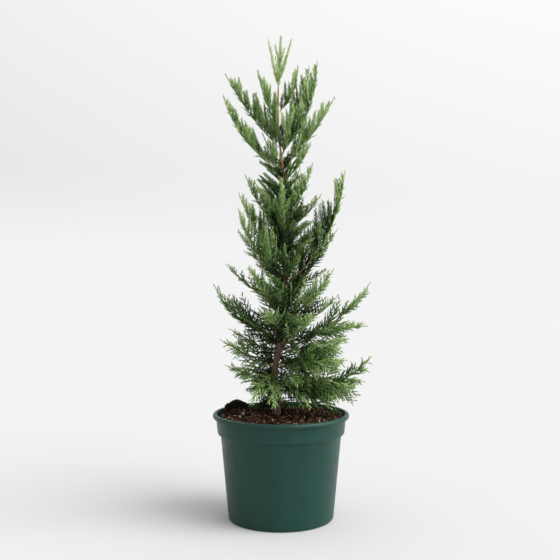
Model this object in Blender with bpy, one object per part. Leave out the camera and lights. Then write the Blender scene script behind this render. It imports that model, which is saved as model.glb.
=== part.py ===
"""A young leyland cypress in its ten litre nursery pot, one object for each piece, in metres.

The origin is the centre of the pot's flat underside, +Z is up and -Y is the front.
The trunk stands in the compost. Main boughs grow from the trunk, and each mass of foliage is one stem with
flat toothed sprays fused on. Smaller masses have no bough of their own: their stem meets the trunk.
"""

import math
import random
from collections import namedtuple

import bmesh
import bpy
import numpy as np
from mathutils import Vector

SEED = 41
GAP = 0.0003
UP = Vector((0, 0, 1))

# The pot: a tapered wall, a wider collar and a rolled rim
POT_SIDES = 36
POT_HEIGHT = 0.215
RIM_RADIUS = 0.140
COLLAR_TOP_RADIUS = 0.1335
COLLAR_FOOT_RADIUS = 0.1305
COLLAR_FOOT_HEIGHT = 0.1745
WALL_TOP_RADIUS = 0.1238
WALL_FOOT_RADIUS = 0.1078
FOOT_FLAT_RADIUS = 0.1035
FOOT_ROUNDING = 0.0045
BEAD_HEIGHT = 0.0100
WALL = 0.0025
DRAIN_HOLES = 8
DRAIN_RADIUS = 0.0065
DRAIN_CIRCLE = 0.086
DRAIN_SIDES = 10

# The compost: a plug that fills the pot to just under the rim, with one raised clod
SOIL_SIDES = 24
SOIL_EDGE = 0.2035
SOIL_MOUND = 0.0055
SOIL_ROUGHNESS = 0.0016
SOIL_RINGS = 6
STEM_PAD_RADIUS = 0.017
CLOD_PLACE = (-0.090, 0.036)
CLOD_HEIGHT = 0.028
CLOD_RADIUS = 0.021

# The trunk, as height, sway to the right, sway to the back and radius
TRUNK_SIDES = 12
TRUNK_STEP = 0.030
TRUNK = (
    (0.2093, -0.0090, 0.0000, 0.0108),
    (0.2200, -0.0088, 0.0000, 0.0080),
    (0.2620, -0.0085, -0.0010, 0.0070),
    (0.3080, -0.0125, 0.0010, 0.0067),
    (0.3450, -0.0035, 0.0020, 0.0063),
    (0.3850, -0.0020, 0.0000, 0.0055),
    (0.4500, 0.0080, -0.0020, 0.0047),
    (0.5600, 0.0045, 0.0010, 0.0038),
    (0.6500, 0.0030, 0.0030, 0.0031),
    (0.7200, 0.0032, 0.0010, 0.0026),
    (0.7900, -0.0050, 0.0000, 0.0022),
    (0.8860, -0.0058, -0.0010, 0.0016),
)
TOP_HEIGHT = 0.992
LEADER_SWAY = 0.006

# Sprays of the leading shoot: share up the shoot, azimuth, lean from upright in degrees, and length
LEADER_SHOOTS = (
    (0.04, 196, 15, 0.085),
    (0.10, 350, 20, 0.080),
    (0.16, 248, 26, 0.040),
    (0.22, 20, 27, 0.044),
    (0.30, 70, 20, 0.050),
    (0.40, 332, 20, 0.034),
    (0.46, 150, 17, 0.036),
)

# Boughs. Root is the height on the trunk, azimuth is in degrees from +X towards the back, reach and rise take
# the root to the tip, curl is how far the middle hangs below the straight line, as a share of its length, bare
# is the share of the length that is a bough of its own, or 0 where the mass's stem meets the trunk, and full is
# how long its sprays are beside the usual ones.
Bough = namedtuple("Bough", "name root azimuth reach rise curl bare full")
BOUGHS = (
    Bough("left_inner", 0.802, 214, 0.051, 0.114, 0.05, 0, 1.0),
    Bough("right_inner", 0.832, 38, 0.052, 0.108, 0.12, 0, 1.0),
    Bough("left_high", 0.758, 173, 0.117, 0.161, 0.038, 0, 1.15),
    Bough("right_high", 0.748, 334, 0.081, 0.187, 0.11, 0, 1.06),
    Bough("right_high_inner", 0.770, 20, 0.066, 0.166, 0.08, 0, 1.1),
    Bough("back_high", 0.780, 98, 0.080, 0.112, 0.08, 0, 1.0),
    Bough("front_high_left", 0.712, 212, 0.050, 0.076, 0.03, 0, 1.0),
    Bough("front_high_right", 0.740, 290, 0.070, 0.105, 0.04, 0, 1.2),
    Bough("right_reach", 0.717, 13, 0.114, 0.158, 0.04, 0, 1.0),
    Bough("left_reach", 0.712, 194, 0.125, 0.154, 0.11, 0, 0.9),
    Bough("right_veil", 0.688, 42, 0.082, 0.092, 0.05, 0, 1.0),
    Bough("left_slip", 0.690, 150, 0.056, 0.050, 0.04, 0, 1.0),
    Bough("right_slip", 0.655, 350, 0.038, 0.066, 0.04, 0, 1.0),
    Bough("mid_right_top", 0.598, 338, 0.066, 0.131, 0.06, 0, 1.0),
    Bough("mid_left_top", 0.590, 166, 0.081, 0.120, 0.08, 0, 1.0),
    Bough("mid_front", 0.566, 268, 0.082, 0.126, 0.10, 0, 1.0),
    Bough("mid_back", 0.570, 84, 0.098, 0.120, 0.08, 0, 1.0),
    Bough("mid_right_slim", 0.590, 18, 0.084, 0.078, 0.09, 0, 1.0),
    Bough("mid_left_inner", 0.604, 205, 0.063, 0.086, 0.06, 0, 1.0),
    Bough("mid_right_inner", 0.508, 6, 0.066, 0.106, 0.08, 0, 1.0),
    Bough("mid_left", 0.528, 192, 0.094, 0.140, 0.08, 0, 1.2),
    Bough("mid_left_low", 0.486, 214, 0.112, 0.148, 0.10, 0, 1.2),
    Bough("mid_left_flat", 0.506, 146, 0.104, 0.042, 0.02, 0, 0.65),
    Bough("mid_right_plume", 0.476, 350, 0.124, 0.240, 0.11, 0.22, 1.05),
    Bough("mid_right_low", 0.452, 24, 0.124, 0.146, 0.03, 0.24, 1.0),
    Bough("low_left_slim", 0.434, 180, 0.122, 0.088, 0.06, 0, 0.6),
    Bough("low_front_left", 0.404, 238, 0.122, 0.114, 0.00, 0, 1.0),
    Bough("low_right_tuft", 0.388, 350, 0.122, 0.072, 0.10, 0, 1.1),
    Bough("low_right_inner", 0.395, 322, 0.134, 0.118, 0.05, 0, 1.0),
    Bough("low_back", 0.416, 70, 0.136, 0.100, 0.06, 0, 1.0),
    Bough("low_back_left", 0.350, 128, 0.130, 0.062, 0.02, 0, 1.1),
    Bough("low_left_plume", 0.372, 171, 0.141, 0.111, 0.15, 0.26, 1.0),
    Bough("low_front", 0.380, 262, 0.130, 0.050, 0.02, 0, 1.1),
    Bough("low_right_long", 0.342, 6, 0.194, 0.143, 0.09, 0.28, 0.75),
    Bough("low_right_flat", 0.352, 343, 0.188, 0.046, -0.03, 0.26, 1.0),
    Bough("low_left_tuft", 0.334, 158, 0.112, 0.050, 0.02, 0, 1.0),
    Bough("low_right_tip", 0.332, 328, 0.168, 0.042, -0.03, 0, 1.35),
    Bough("low_front_tuft", 0.354, 305, 0.120, 0.074, 0.04, 0, 1.1),
    Bough("base_left_high", 0.308, 190, 0.116, 0.060, 0.02, 0, 1.2),
    Bough("base_right_back", 0.314, 28, 0.168, 0.044, 0.04, 0, 1.5),
    Bough("base_back", 0.282, 106, 0.118, -0.044, -0.10, 0, 1.4),
    Bough("base_front_left", 0.296, 246, 0.112, -0.052, -0.12, 0, 1.0),
    Bough("base_left", 0.270, 164, 0.112, 0.038, 0.00, 0, 1.1),
    Bough("base_front", 0.282, 268, 0.114, -0.042, -0.12, 0, 1.0),
    Bough("base_front_right", 0.276, 305, 0.118, -0.040, -0.12, 0, 1.0),
    Bough("base_right_long", 0.262, 352, 0.196, 0.074, 0.14, 0.28, 1.2),
    Bough("base_right_side", 0.280, 8, 0.190, -0.006, -0.04, 0, 1.6),
    Bough("base_right_front", 0.306, 322, 0.180, 0.028, -0.02, 0, 1.5),
    Bough("base_right_hang", 0.272, 334, 0.178, 0.006, -0.06, 0, 1.5),
    Bough("base_left_hang", 0.290, 214, 0.086, 0.000, -0.06, 0, 1.0),
)

# Limbs and sprays
BOUGH_SIDES = 5
TWIG_SIDES = 3
LIMB_BASE_RADIUS = 0.0008
LIMB_RADIUS_SHARE = 0.0075
LIMB_TIP_RADIUS = 0.0006
LIMB_TO_TRUNK = 0.45
STEM_STEPS = 4
BOUGH_STEPS = 3
LEAFLESS_SHARE = 0.14
SPRAY_EVERY_LOW, SPRAY_EVERY_HIGH = 0.0410, 0.0450
SPRAY_ROLL_LOW, SPRAY_ROLL_HIGH = 62, 24
SPRAY_ROLL_SPREAD = 28
SPRAY_TILT_SPREAD = 34
LOW_BOUGH, HIGH_BOUGH = 0.30, 0.70
SPRAY_SHARE = 0.54
SPRAY_LEAST, SPRAY_MOST = 0.046, 0.096
SPRAY_ANGLE_FOOT, SPRAY_ANGLE_TIP = 46, 25
SPRAY_CURVE = 0.30
SPRAY_PAST_TIP = 0.012
SPRAY_TAPER = 0.80
OUT_PAST_TIP = 0.003
UP_PAST_TIP = 0.005
SPRAY_SHRINKS = (1.0, 0.84, 0.7, 0.58, 0.46)
SPRAY_TURNS = (0, 24, -24, 48, -48, 76, -76)
THREE_TEETH_FROM = 0.070
TOOTH_ANGLE = 38
TOOTH_SHARE = 0.52
TOOTH_CUTS = (1.0, 0.78, 0.58, 0.40)
LEAST_TOOTH = 0.0028
LEADER_TEETH = 0.45
ENOUGH_COVER = 0.7
SPRAY_THICKNESS = 0.0016
SPRAY_HALF_RIB = 0.0016
LEAST_SPRAY = 0.016
ROOM_TO_NEIGHBOUR = 0.0015
ROOM_TO_LIMB = 0.0020
ROOM_TO_SOIL = 0.0040
ROOM_TO_RIM = 0.0030
LINE_POINTS = 60
FUSE_ATTEMPTS = 6
FUSE_NUDGE = 0.00013

COLOURS = {
    "pot": ((0.028, 0.082, 0.070), 0.42),
    "soil": ((0.045, 0.024, 0.013), 0.95),
    "bark": ((0.165, 0.082, 0.045), 0.85),
    "foliage": ((0.060, 0.145, 0.035), 0.60),
}


def clear_scene():
    for found in list(bpy.data.objects):
        bpy.data.objects.remove(found, do_unlink=True)


def material(kind):
    """The Principled material of one kind of surface, made once."""
    made = bpy.data.materials.get(kind)
    if made is None:
        colour, roughness = COLOURS[kind]
        made = bpy.data.materials.new(kind)
        made.use_nodes = True
        shader = made.node_tree.nodes["Principled BSDF"]
        shader.inputs["Base Color"].default_value = (*colour, 1)
        shader.inputs["Roughness"].default_value = roughness
        shader.inputs["Metallic"].default_value = 0
        made.diffuse_color = (*colour, 1)
    return made


def add_object(name, mesh, kind):
    made = bpy.data.objects.new(name, mesh)
    bpy.context.scene.collection.objects.link(made)
    mesh.materials.append(material(kind))
    return made


def mesh_of(name, points, faces):
    """A mesh from points and faces, with its normals turned outwards."""
    body = bmesh.new()
    corners = [body.verts.new(p) for p in points]
    for face in faces:
        body.faces.new([corners[i] for i in face])
    bmesh.ops.recalc_face_normals(body, faces=body.faces)
    mesh = bpy.data.meshes.new(name)
    body.to_mesh(mesh)
    body.free()
    return mesh


def loft(name, rings, tip=None):
    """A closed skin over rings of points, capped flat, or drawn to a point at the end where a tip is given."""
    sides = len(rings[0])
    points = [p for ring in rings for p in ring]
    faces = [list(range(sides))[::-1]]
    for step in range(len(rings) - 1):
        low, high = step * sides, (step + 1) * sides
        for side in range(sides):
            after = (side + 1) % sides
            faces.append([low + side, low + after, high + after, high + side])
    last = (len(rings) - 1) * sides
    if tip is None:
        faces.append([last + side for side in range(sides)])
    else:
        points.append(tip)
        faces += [[last + side, last + (side + 1) % sides, len(points) - 1] for side in range(sides)]
    return mesh_of(name, points, faces)


def apply_modifier(piece, modifier):
    with bpy.context.temp_override(object=piece, active_object=piece, selected_objects=[piece]):
        bpy.ops.object.modifier_apply(modifier=modifier.name)


def combine(piece, others, operation, solver="EXACT"):
    """Joins or cuts the piece with all of a collection in one Boolean, applies it and removes the collection."""
    bpy.context.scene.collection.children.link(others)
    boolean = piece.modifiers.new("boolean", "BOOLEAN")
    boolean.operation = operation
    boolean.operand_type = "COLLECTION"
    boolean.collection = others
    boolean.solver = solver
    bpy.context.view_layer.update()
    apply_modifier(piece, boolean)
    for found in list(others.objects):
        bpy.data.objects.remove(found, do_unlink=True)
    bpy.data.collections.remove(others)


# The pot


def pot_profile():
    """The wall's outline as radius and height, from the middle of the underside, out, up and back down inside."""
    bead_top = POT_HEIGHT
    bead_foot = POT_HEIGHT - BEAD_HEIGHT
    outer = [
        (0, 0),
        (FOOT_FLAT_RADIUS, 0),
        (WALL_FOOT_RADIUS, FOOT_ROUNDING),
        (WALL_TOP_RADIUS, COLLAR_FOOT_HEIGHT - 0.0035),
        (COLLAR_FOOT_RADIUS - 0.0012, COLLAR_FOOT_HEIGHT - 0.0008),
        (COLLAR_FOOT_RADIUS, COLLAR_FOOT_HEIGHT + 0.0025),
        (COLLAR_TOP_RADIUS, bead_foot - 0.0010),
        (RIM_RADIUS - 0.0020, bead_foot + 0.0006),
        (RIM_RADIUS, bead_foot + 0.0045),
        (RIM_RADIUS - 0.0015, bead_top - 0.0015),
        (RIM_RADIUS - 0.0045, bead_top),
        (RIM_RADIUS - 0.0072, bead_top - 0.0012),
    ]
    inner = [
        (COLLAR_TOP_RADIUS - WALL, bead_foot - 0.001),
        (COLLAR_FOOT_RADIUS - WALL, COLLAR_FOOT_HEIGHT + 0.0025),
        (WALL_TOP_RADIUS - WALL, COLLAR_FOOT_HEIGHT - 0.005),
        (WALL_FOOT_RADIUS - WALL, FOOT_ROUNDING + WALL),
        (FOOT_FLAT_RADIUS - WALL, WALL),
        (0, WALL),
    ]
    return outer + inner


def inner_radius(height):
    """The radius of the pot's inner wall at a height, at the middle of its flats."""
    wall = [p for p in pot_profile()[12:] if p[0] > 0]
    heights = [p[1] for p in reversed(wall)]
    radii = [p[0] for p in reversed(wall)]
    return float(np.interp(height, heights, radii)) * math.cos(math.pi / POT_SIDES)


def drain_cutter(index):
    """One upright pin through the pot's floor, which cuts a drain hole."""
    turn = 2 * math.pi * (index + 0.5) / DRAIN_HOLES
    body = bmesh.new()
    bmesh.ops.create_cone(
        body, cap_ends=True, segments=DRAIN_SIDES, radius1=DRAIN_RADIUS, radius2=DRAIN_RADIUS, depth=6 * WALL
    )
    place = Vector((DRAIN_CIRCLE * math.cos(turn), DRAIN_CIRCLE * math.sin(turn), 0))
    bmesh.ops.translate(body, verts=body.verts, vec=place)
    mesh = bpy.data.meshes.new("drain_cutter")
    body.to_mesh(mesh)
    body.free()
    return mesh


def make_pot():
    """The pot, turned from its outline, with drain holes round its floor."""
    body = bmesh.new()
    outline = [body.verts.new((r, 0, z)) for r, z in pot_profile()]
    edges = [body.edges.new(pair) for pair in zip(outline, outline[1:])]
    bmesh.ops.spin(
        body, geom=outline + edges, axis=UP, cent=(0, 0, 0), angle=2 * math.pi, steps=POT_SIDES, use_merge=True
    )
    bmesh.ops.remove_doubles(body, verts=body.verts, dist=1e-6)
    bmesh.ops.recalc_face_normals(body, faces=body.faces)
    mesh = bpy.data.meshes.new("pot")
    body.to_mesh(mesh)
    body.free()
    pot = add_object("pot", mesh, "pot")
    cutters = bpy.data.collections.new("drain_cutters")
    for index in range(DRAIN_HOLES):
        cutters.objects.link(bpy.data.objects.new("drain_cutter", drain_cutter(index)))
    combine(pot, cutters, "DIFFERENCE")
    pot.data.shade_smooth()
    pot.data.set_sharp_from_angle(angle=math.radians(32))
    return pot


# The compost


def soil_height(x, y, rough):
    """The surface of the compost at one place: low at the wall, raised at the stem, with the clod on top."""
    share = min(1.0, math.hypot(x, y) / inner_radius(SOIL_EDGE))
    clod = math.exp(-((x - CLOD_PLACE[0]) ** 2 + (y - CLOD_PLACE[1]) ** 2) / CLOD_RADIUS**2)
    ripple = math.sin(61 * x + 1.3) * math.sin(53 * y + 0.4)
    return SOIL_EDGE + SOIL_MOUND * (1 - share**2) + CLOD_HEIGHT * clod + SOIL_ROUGHNESS * (ripple + rough)


def make_soil():
    """The plug of compost, with a small level pad where the trunk stands."""
    chance = random.Random(SEED)
    foot = WALL + GAP
    turns = [2 * math.pi * side / SOIL_SIDES for side in range(SOIL_SIDES)]

    def ring(radius, height_at, centre=(0, 0)):
        places = [(centre[0] + radius * math.cos(a), centre[1] + radius * math.sin(a)) for a in turns]
        return [Vector((x, y, height_at(x, y))) for x, y in places]

    rings = [ring(FOOT_FLAT_RADIUS - WALL - GAP, lambda x, y: foot)]
    for height in (FOOT_ROUNDING + WALL, COLLAR_FOOT_HEIGHT - 0.005, COLLAR_FOOT_HEIGHT + 0.0025):
        rings.append(ring(inner_radius(height) - GAP, lambda x, y, z=height: z))
    edge = inner_radius(SOIL_EDGE) - GAP
    rings.append(ring(edge, lambda x, y: SOIL_EDGE - 0.001))
    pad_place = TRUNK[0][1:3]
    for step in range(1, SOIL_RINGS):
        share = step / SOIL_RINGS
        radius = edge * (1 - share) + STEM_PAD_RADIUS * share
        centre = (pad_place[0] * share, pad_place[1] * share)
        rings.append(ring(radius, lambda x, y: soil_height(x, y, chance.uniform(-1, 1)), centre))
    rings.append(ring(STEM_PAD_RADIUS, lambda x, y: TRUNK[0][0] - GAP, pad_place))
    mesh = loft("soil", rings)
    return add_object("soil", mesh, "soil")


# The trunk and the boughs' lines


def trunk_at(height):
    """The trunk's centre and radius at a height, on smooth curves through its rows."""
    rows = np.array(TRUNK)
    height = min(max(height, rows[0, 0]), rows[-1, 0])
    place = int(np.clip(np.searchsorted(rows[:, 0], height) - 1, 0, len(rows) - 2))
    span = rows[place + 1, 0] - rows[place, 0]
    share = (height - rows[place, 0]) / span

    def slope(index):
        before, after = max(index - 1, 0), min(index + 1, len(rows) - 1)
        return (rows[after, 1:3] - rows[before, 1:3]) / (rows[after, 0] - rows[before, 0])

    h00 = 2 * share**3 - 3 * share**2 + 1
    h10 = share**3 - 2 * share**2 + share
    h01 = 1 - h00
    h11 = share**3 - share**2
    sway = (
        h00 * rows[place, 1:3]
        + h10 * span * slope(place)
        + h01 * rows[place + 1, 1:3]
        + h11 * span * slope(place + 1)
    )
    radius = rows[place, 3] * (1 - share) + rows[place + 1, 3] * share
    return Vector((*sway, height)), float(radius)


def make_trunk():
    """The whole trunk, from its flat cut on the compost to its tip, flared at the foot."""
    heights = []
    for low, high in zip(TRUNK, TRUNK[1:]):
        steps = math.ceil((high[0] - low[0]) / TRUNK_STEP)
        heights += [low[0] + (high[0] - low[0]) * k / steps for k in range(steps)]
    heights.append(TRUNK[-1][0])
    rings = []
    for height in heights:
        centre, radius = trunk_at(height)
        turns = [2 * math.pi * side / TRUNK_SIDES for side in range(TRUNK_SIDES)]
        rings.append([centre + radius * Vector((math.cos(a), math.sin(a), 0)) for a in turns])
    return add_object("trunk", loft("trunk", rings), "bark")


def bough_point(bough, share):
    """A point on a bough's line, from its root on the trunk's centre to its tip."""
    root, _ = trunk_at(bough.root)
    turn = math.radians(bough.azimuth)
    outwards = Vector((math.cos(turn), math.sin(turn), 0))
    chord = outwards * bough.reach + UP * bough.rise
    below = (outwards * bough.rise - UP * bough.reach).normalized()
    sag = bough.curl * chord.length * 4 * share * (1 - share)
    return root + chord * share + below * sag


def bough_frame(bough, share):
    """The bough's direction, its sideways direction and the one over it, at a share of its length."""
    step = 0.01
    along = (bough_point(bough, share + step) - bough_point(bough, share - step)).normalized()
    side = along.cross(UP).normalized()
    return along, side, side.cross(along).normalized()


def bough_length(bough):
    return math.hypot(bough.reach, bough.rise)


def limb_radius(bough, share):
    """A limb tapers evenly. Its foot grows with its length, and stays well under the trunk's own radius."""
    _, trunk_radius = trunk_at(bough.root)
    foot = min(LIMB_BASE_RADIUS + LIMB_RADIUS_SHARE * bough_length(bough), LIMB_TO_TRUNK * trunk_radius)
    return foot * (1 - share) + LIMB_TIP_RADIUS * share


def limb_ring(bough, share, sides):
    along, side, over = bough_frame(bough, share)
    centre, radius = bough_point(bough, share), limb_radius(bough, share)
    turns = [2 * math.pi * k / sides for k in range(sides)]
    return [centre + radius * (side * math.sin(a) + over * math.cos(a)) for a in turns]


def seated_ring(bough, sides):
    """The limb's first ring, each point slid out along the limb until it is a gap clear of the trunk's bark.
    The dip keeps the flat end between those points clear of the round bark too."""
    along, _, _ = bough_frame(bough, 0)
    seated = []
    for point in limb_ring(bough, 0, sides):
        slide = 0.0
        while True:
            spot = point + along * slide
            centre, radius = trunk_at(spot.z)
            dip = limb_radius(bough, 0) ** 2 / (2 * radius)
            if (spot - centre).xy.length >= radius + GAP + dip:
                break
            slide += 0.0001
        seated.append(spot)
    return seated


def seat_share(bough):
    """The share of the limb's length that its seat on the trunk uses up."""
    root = bough_point(bough, 0)
    return max((p - root).length for p in seated_ring(bough, TWIG_SIDES)) / bough_length(bough)


def limb_rings(bough, start, end, steps, sides):
    """Rings along a limb from one share of its line to another. A start of 0 is seated on the trunk."""
    shares = [start + (end - start) * k / steps for k in range(steps + 1)]
    rings = []
    if start == 0:
        rings.append(seated_ring(bough, sides))
        first = seat_share(bough) + 0.03
        shares = [first + (end - first) * k / steps for k in range(steps + 1)]
    rings += [limb_ring(bough, share, sides) for share in shares]
    return rings


def make_bough(bough):
    rings = limb_rings(bough, 0, bough.bare, BOUGH_STEPS, BOUGH_SIDES)
    return add_object("bough_" + bough.name, loft(bough.name, rings), "bark")


# The sprays


Spray = namedtuple("Spray", "root along across length")


def spray_point(spray, distance, sideways=0.0, lift=0.0):
    """A point on a spray's flat, which curves upwards, at a distance along it, to its side and over it."""
    share = distance / spray.length
    bend = UP * (SPRAY_CURVE * spray.length * 0.5 * share * share)
    over = spray.along.cross(spray.across).normalized()
    return spray.root + spray.along * distance + bend + spray.across * sideways + over * lift


def teeth_of(length):
    """How many pairs of teeth a spray of this length has."""
    return 3 if length > THREE_TEETH_FROM else 2


def tooth_reach(length, station):
    """How long a tooth is: long near the spray's foot, and short at its tip."""
    share = (station + 0.6) / (teeth_of(length) + 1)
    return TOOTH_SHARE * length * (1 - share) ** 0.7 + 0.003


def tooth_tip(spray, station, sign, reach):
    turn = math.radians(TOOTH_ANGLE)
    distance = spray.length / (teeth_of(spray.length) + 1) * (station + 0.45)
    return spray_point(spray, distance + reach * math.cos(turn), sign * reach * math.sin(turn))


def spray_mesh(spray, reaches):
    """One flat spray: a rib of diamond section, and on both its edges pointed teeth of the given reaches."""
    teeth = teeth_of(spray.length)
    points, faces = [], []
    for station in range(teeth + 1):
        share = station / (teeth + 1)
        half_rib = SPRAY_HALF_RIB * (1 - 0.6 * share)
        half_thick = SPRAY_THICKNESS / 2 * (1 - 0.5 * share)
        for sideways, lift in ((half_rib, 0), (0, half_thick), (-half_rib, 0), (0, -half_thick)):
            points.append(spray_point(spray, spray.length * share, sideways, lift))
    end = len(points)
    points.append(spray_point(spray, spray.length))
    faces.append([0, 1, 2, 3])
    for station in range(teeth):
        low, high = 4 * station, 4 * station + 4
        for edge, sign, reach in ((0, 1, reaches[station][0]), (2, -1, reaches[station][1])):
            points.append(tooth_tip(spray, station, sign, reach))
            tooth = len(points) - 1
            for ridge in (1, 3):
                faces += [
                    [low + ridge, low + edge, tooth],
                    [low + ridge, tooth, high + edge],
                    [low + ridge, high + edge, high + ridge],
                ]
    last = 4 * teeth
    faces += [[last + k, last + (k + 1) % 4, end] for k in range(4)]
    return points, faces


def line_points(bough):
    return np.array([bough_point(bough, k / LINE_POINTS) for k in range(LINE_POINTS + 1)])


def nearest(points, line):
    """For each point, how far it is from the closest of a line's points."""
    return np.sqrt(((points[:, None, :] - line[None, :, :]) ** 2).sum(2)).min(1)


def in_own_space(points, bough, lines):
    """For each point, whether it is short of its bough's tip, nearer to that bough than to any other, and clear
    of the trunk and the pot."""
    points = np.array(points)
    root, _ = trunk_at(bough.root)
    kept = np.hypot(points[:, 0] - root.x, points[:, 1] - root.y) < bough.reach + OUT_PAST_TIP
    kept &= points[:, 2] < bough.root + max(bough.rise, 0) + UP_PAST_TIP
    to_own = nearest(points, lines[bough.name])
    for name, line in lines.items():
        if name != bough.name:
            to_other = nearest(points, line)
            kept &= to_other > np.maximum(to_own + ROOM_TO_NEIGHBOUR, ROOM_TO_LIMB + 0.003)
    for index, point in enumerate(points):
        centre, radius = trunk_at(point[2])
        if point[2] < TRUNK[-1][0] and math.dist(point[:2], centre.xy) < radius + ROOM_TO_LIMB:
            kept[index] = False
        over_rim = POT_HEIGHT + ROOM_TO_RIM if math.hypot(point[0], point[1]) > RIM_RADIUS - 0.012 else 0
        if point[2] < max(over_rim, soil_height(point[0], point[1], 1) + ROOM_TO_SOIL):
            kept[index] = False
    return kept


def spray_length(bough, share):
    """Long in the lower middle of a bough, and shorter at its tip."""
    longest = min(max(SPRAY_SHARE * bough_length(bough), SPRAY_LEAST), SPRAY_MOST) * bough.full
    to_tip = (1 - share) * bough_length(bough)
    swell = 0.72 + 0.28 * math.sin(math.pi * min(1, 2.0 * share))
    return min(longest * swell, SPRAY_TAPER * to_tip * max(bough.full, 0.8) + SPRAY_PAST_TIP)


def spray_places(bough):
    """Where each spray of a bough starts, how far round the bough it points, its tilt and its length, by rule."""
    chance = random.Random(SEED + bough.azimuth + int(1000 * bough.root))
    leafy = max(bough.bare + 0.04, LEAFLESS_SHARE)
    high = min(1.0, max(0.0, (bough.root - LOW_BOUGH) / (HIGH_BOUGH - LOW_BOUGH)))
    spacing = SPRAY_EVERY_LOW + (SPRAY_EVERY_HIGH - SPRAY_EVERY_LOW) * high
    middle_roll = SPRAY_ROLL_LOW + (SPRAY_ROLL_HIGH - SPRAY_ROLL_LOW) * high
    count = max(4, round(bough_length(bough) * (1 - leafy) / spacing))
    for k in range(count):
        share = (k + 0.3) / count
        roll = (middle_roll + chance.uniform(-1, 1) * SPRAY_ROLL_SPREAD) * (1 if k % 2 else -1)
        tilt = chance.uniform(-1, 1) * SPRAY_TILT_SPREAD
        place = leafy + (1 - leafy) * share
        yield place, roll, tilt, spray_length(bough, place) * chance.uniform(0.9, 1.1)


def spray_of(bough, share, roll, tilt, length):
    """One spray of a bough: where it starts, its direction, the direction across its flat, and its length."""
    along, side, over = bough_frame(bough, share)
    lateral = over * math.cos(math.radians(roll)) + side * math.sin(math.radians(roll))
    turn = math.radians(SPRAY_ANGLE_FOOT + (SPRAY_ANGLE_TIP - SPRAY_ANGLE_FOOT) * share)
    direction = (along * math.cos(turn) + lateral * math.sin(turn)).normalized()
    across = (along * math.sin(turn) - lateral * math.cos(turn)).normalized()
    tilted = math.radians(tilt)
    across = (across * math.cos(tilted) + direction.cross(across) * math.sin(tilted)).normalized()
    return Spray(bough_point(bough, share), direction, across, length)


def full_reaches(spray):
    return [[tooth_reach(spray.length, station)] * 2 for station in range(teeth_of(spray.length))]


def fitted_reaches(spray, bough, lines):
    """Each tooth's longest reach in the bough's own space, or None where the rib itself leaves that space."""
    teeth = teeth_of(spray.length)
    rib = [spray_point(spray, spray.length * (k + 1) / (teeth + 1)) for k in range(teeth + 1)]
    full = full_reaches(spray)
    tips = [
        tooth_tip(spray, station, sign, full[station][0] * cut)
        for cut in TOOTH_CUTS
        for station in range(teeth)
        for sign in (1, -1)
    ]
    kept = in_own_space(rib + tips, bough, lines)
    if not kept[: teeth + 1].all():
        return None
    fits = kept[teeth + 1 :].reshape(len(TOOTH_CUTS), teeth, 2)
    reaches = [[LEAST_TOOTH, LEAST_TOOTH] for _ in range(teeth)]
    for cut, row in reversed(list(zip(TOOTH_CUTS, fits))):
        for station in range(teeth):
            for edge in (0, 1):
                if row[station][edge]:
                    reaches[station][edge] = full[station][0] * cut
    return reaches


def cover(length, reaches):
    """About how much a spray covers, seen face on."""
    return length / (len(reaches) + 1) * sum(map(sum, reaches)) / 2


def fitted_spray(bough, place, lines):
    """The spray that covers most within its bough's own space, turned round the bough where it has to, or None."""
    share, roll, tilt, length = place
    whole = cover(length, full_reaches(spray_of(bough, *place)))
    best, most = None, 0
    for shrink in SPRAY_SHRINKS:
        if length * shrink < LEAST_SPRAY or most > ENOUGH_COVER * whole:
            break
        for turn in SPRAY_TURNS:
            spray = spray_of(bough, share, roll + turn, tilt, length * shrink)
            reaches = fitted_reaches(spray, bough, lines)
            if reaches and cover(spray.length, reaches) > most:
                best, most = spray_mesh(spray, reaches), cover(spray.length, reaches)
    return best


def drop_scraps(piece):
    """Keeps the largest closed body of a fused piece: loose scraps and the skins of sealed hollows go."""
    body = bmesh.new()
    body.from_mesh(piece.data)
    bmesh.ops.remove_doubles(body, verts=body.verts, dist=1e-6)
    left, groups = set(body.verts), []
    while left:
        group, edge = set(), [left.pop()]
        while edge:
            corner = edge.pop()
            group.add(corner)
            for link in corner.link_edges:
                other = link.other_vert(corner)
                if other in left:
                    left.discard(other)
                    edge.append(other)
        groups.append(group)
    groups.sort(key=len)
    bmesh.ops.delete(body, geom=[v for group in groups[:-1] for v in group], context="VERTS")
    bmesh.ops.dissolve_degenerate(body, dist=1e-6, edges=body.edges)
    bmesh.ops.triangulate(body, faces=body.faces)
    body.to_mesh(piece.data)
    body.free()


def is_closed(mesh):
    """True where every edge of a mesh joins just two faces."""
    body = bmesh.new()
    body.from_mesh(mesh)
    closed = all(len(edge.link_faces) == 2 for edge in body.edges)
    body.free()
    return closed


def fuse(stem, sprays, name):
    """Joins the sprays to their stem in one Boolean union. A union that leaves a hole is made again, nudged."""
    bare_stem = stem.data.copy()
    for attempt in range(FUSE_ATTEMPTS):
        nudge = UP * FUSE_NUDGE * attempt
        others = bpy.data.collections.new(name + "_sprays")
        for points, faces in sprays:
            mesh = mesh_of(name + "_spray", [point + nudge for point in points], faces)
            others.objects.link(bpy.data.objects.new(name + "_spray", mesh))
        stem.data = bare_stem.copy()
        combine(stem, others, "UNION", "MANIFOLD" if attempt % 2 else "EXACT")
        drop_scraps(stem)
        if is_closed(stem.data):
            break


def make_mass(bough, lines):
    """One mass of foliage: the rest of the bough's line as its stem, with its sprays fused on."""
    start = bough.bare + GAP / bough_length(bough) if bough.bare else 0
    rings = limb_rings(bough, start, 0.97, STEM_STEPS, TWIG_SIDES)
    stem = add_object("foliage_" + bough.name, loft(bough.name, rings, bough_point(bough, 1)), "foliage")
    sprays = [fitted_spray(bough, place, lines) for place in spray_places(bough)]
    fuse(stem, [found for found in sprays if found], bough.name)
    return stem


# The leader


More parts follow.
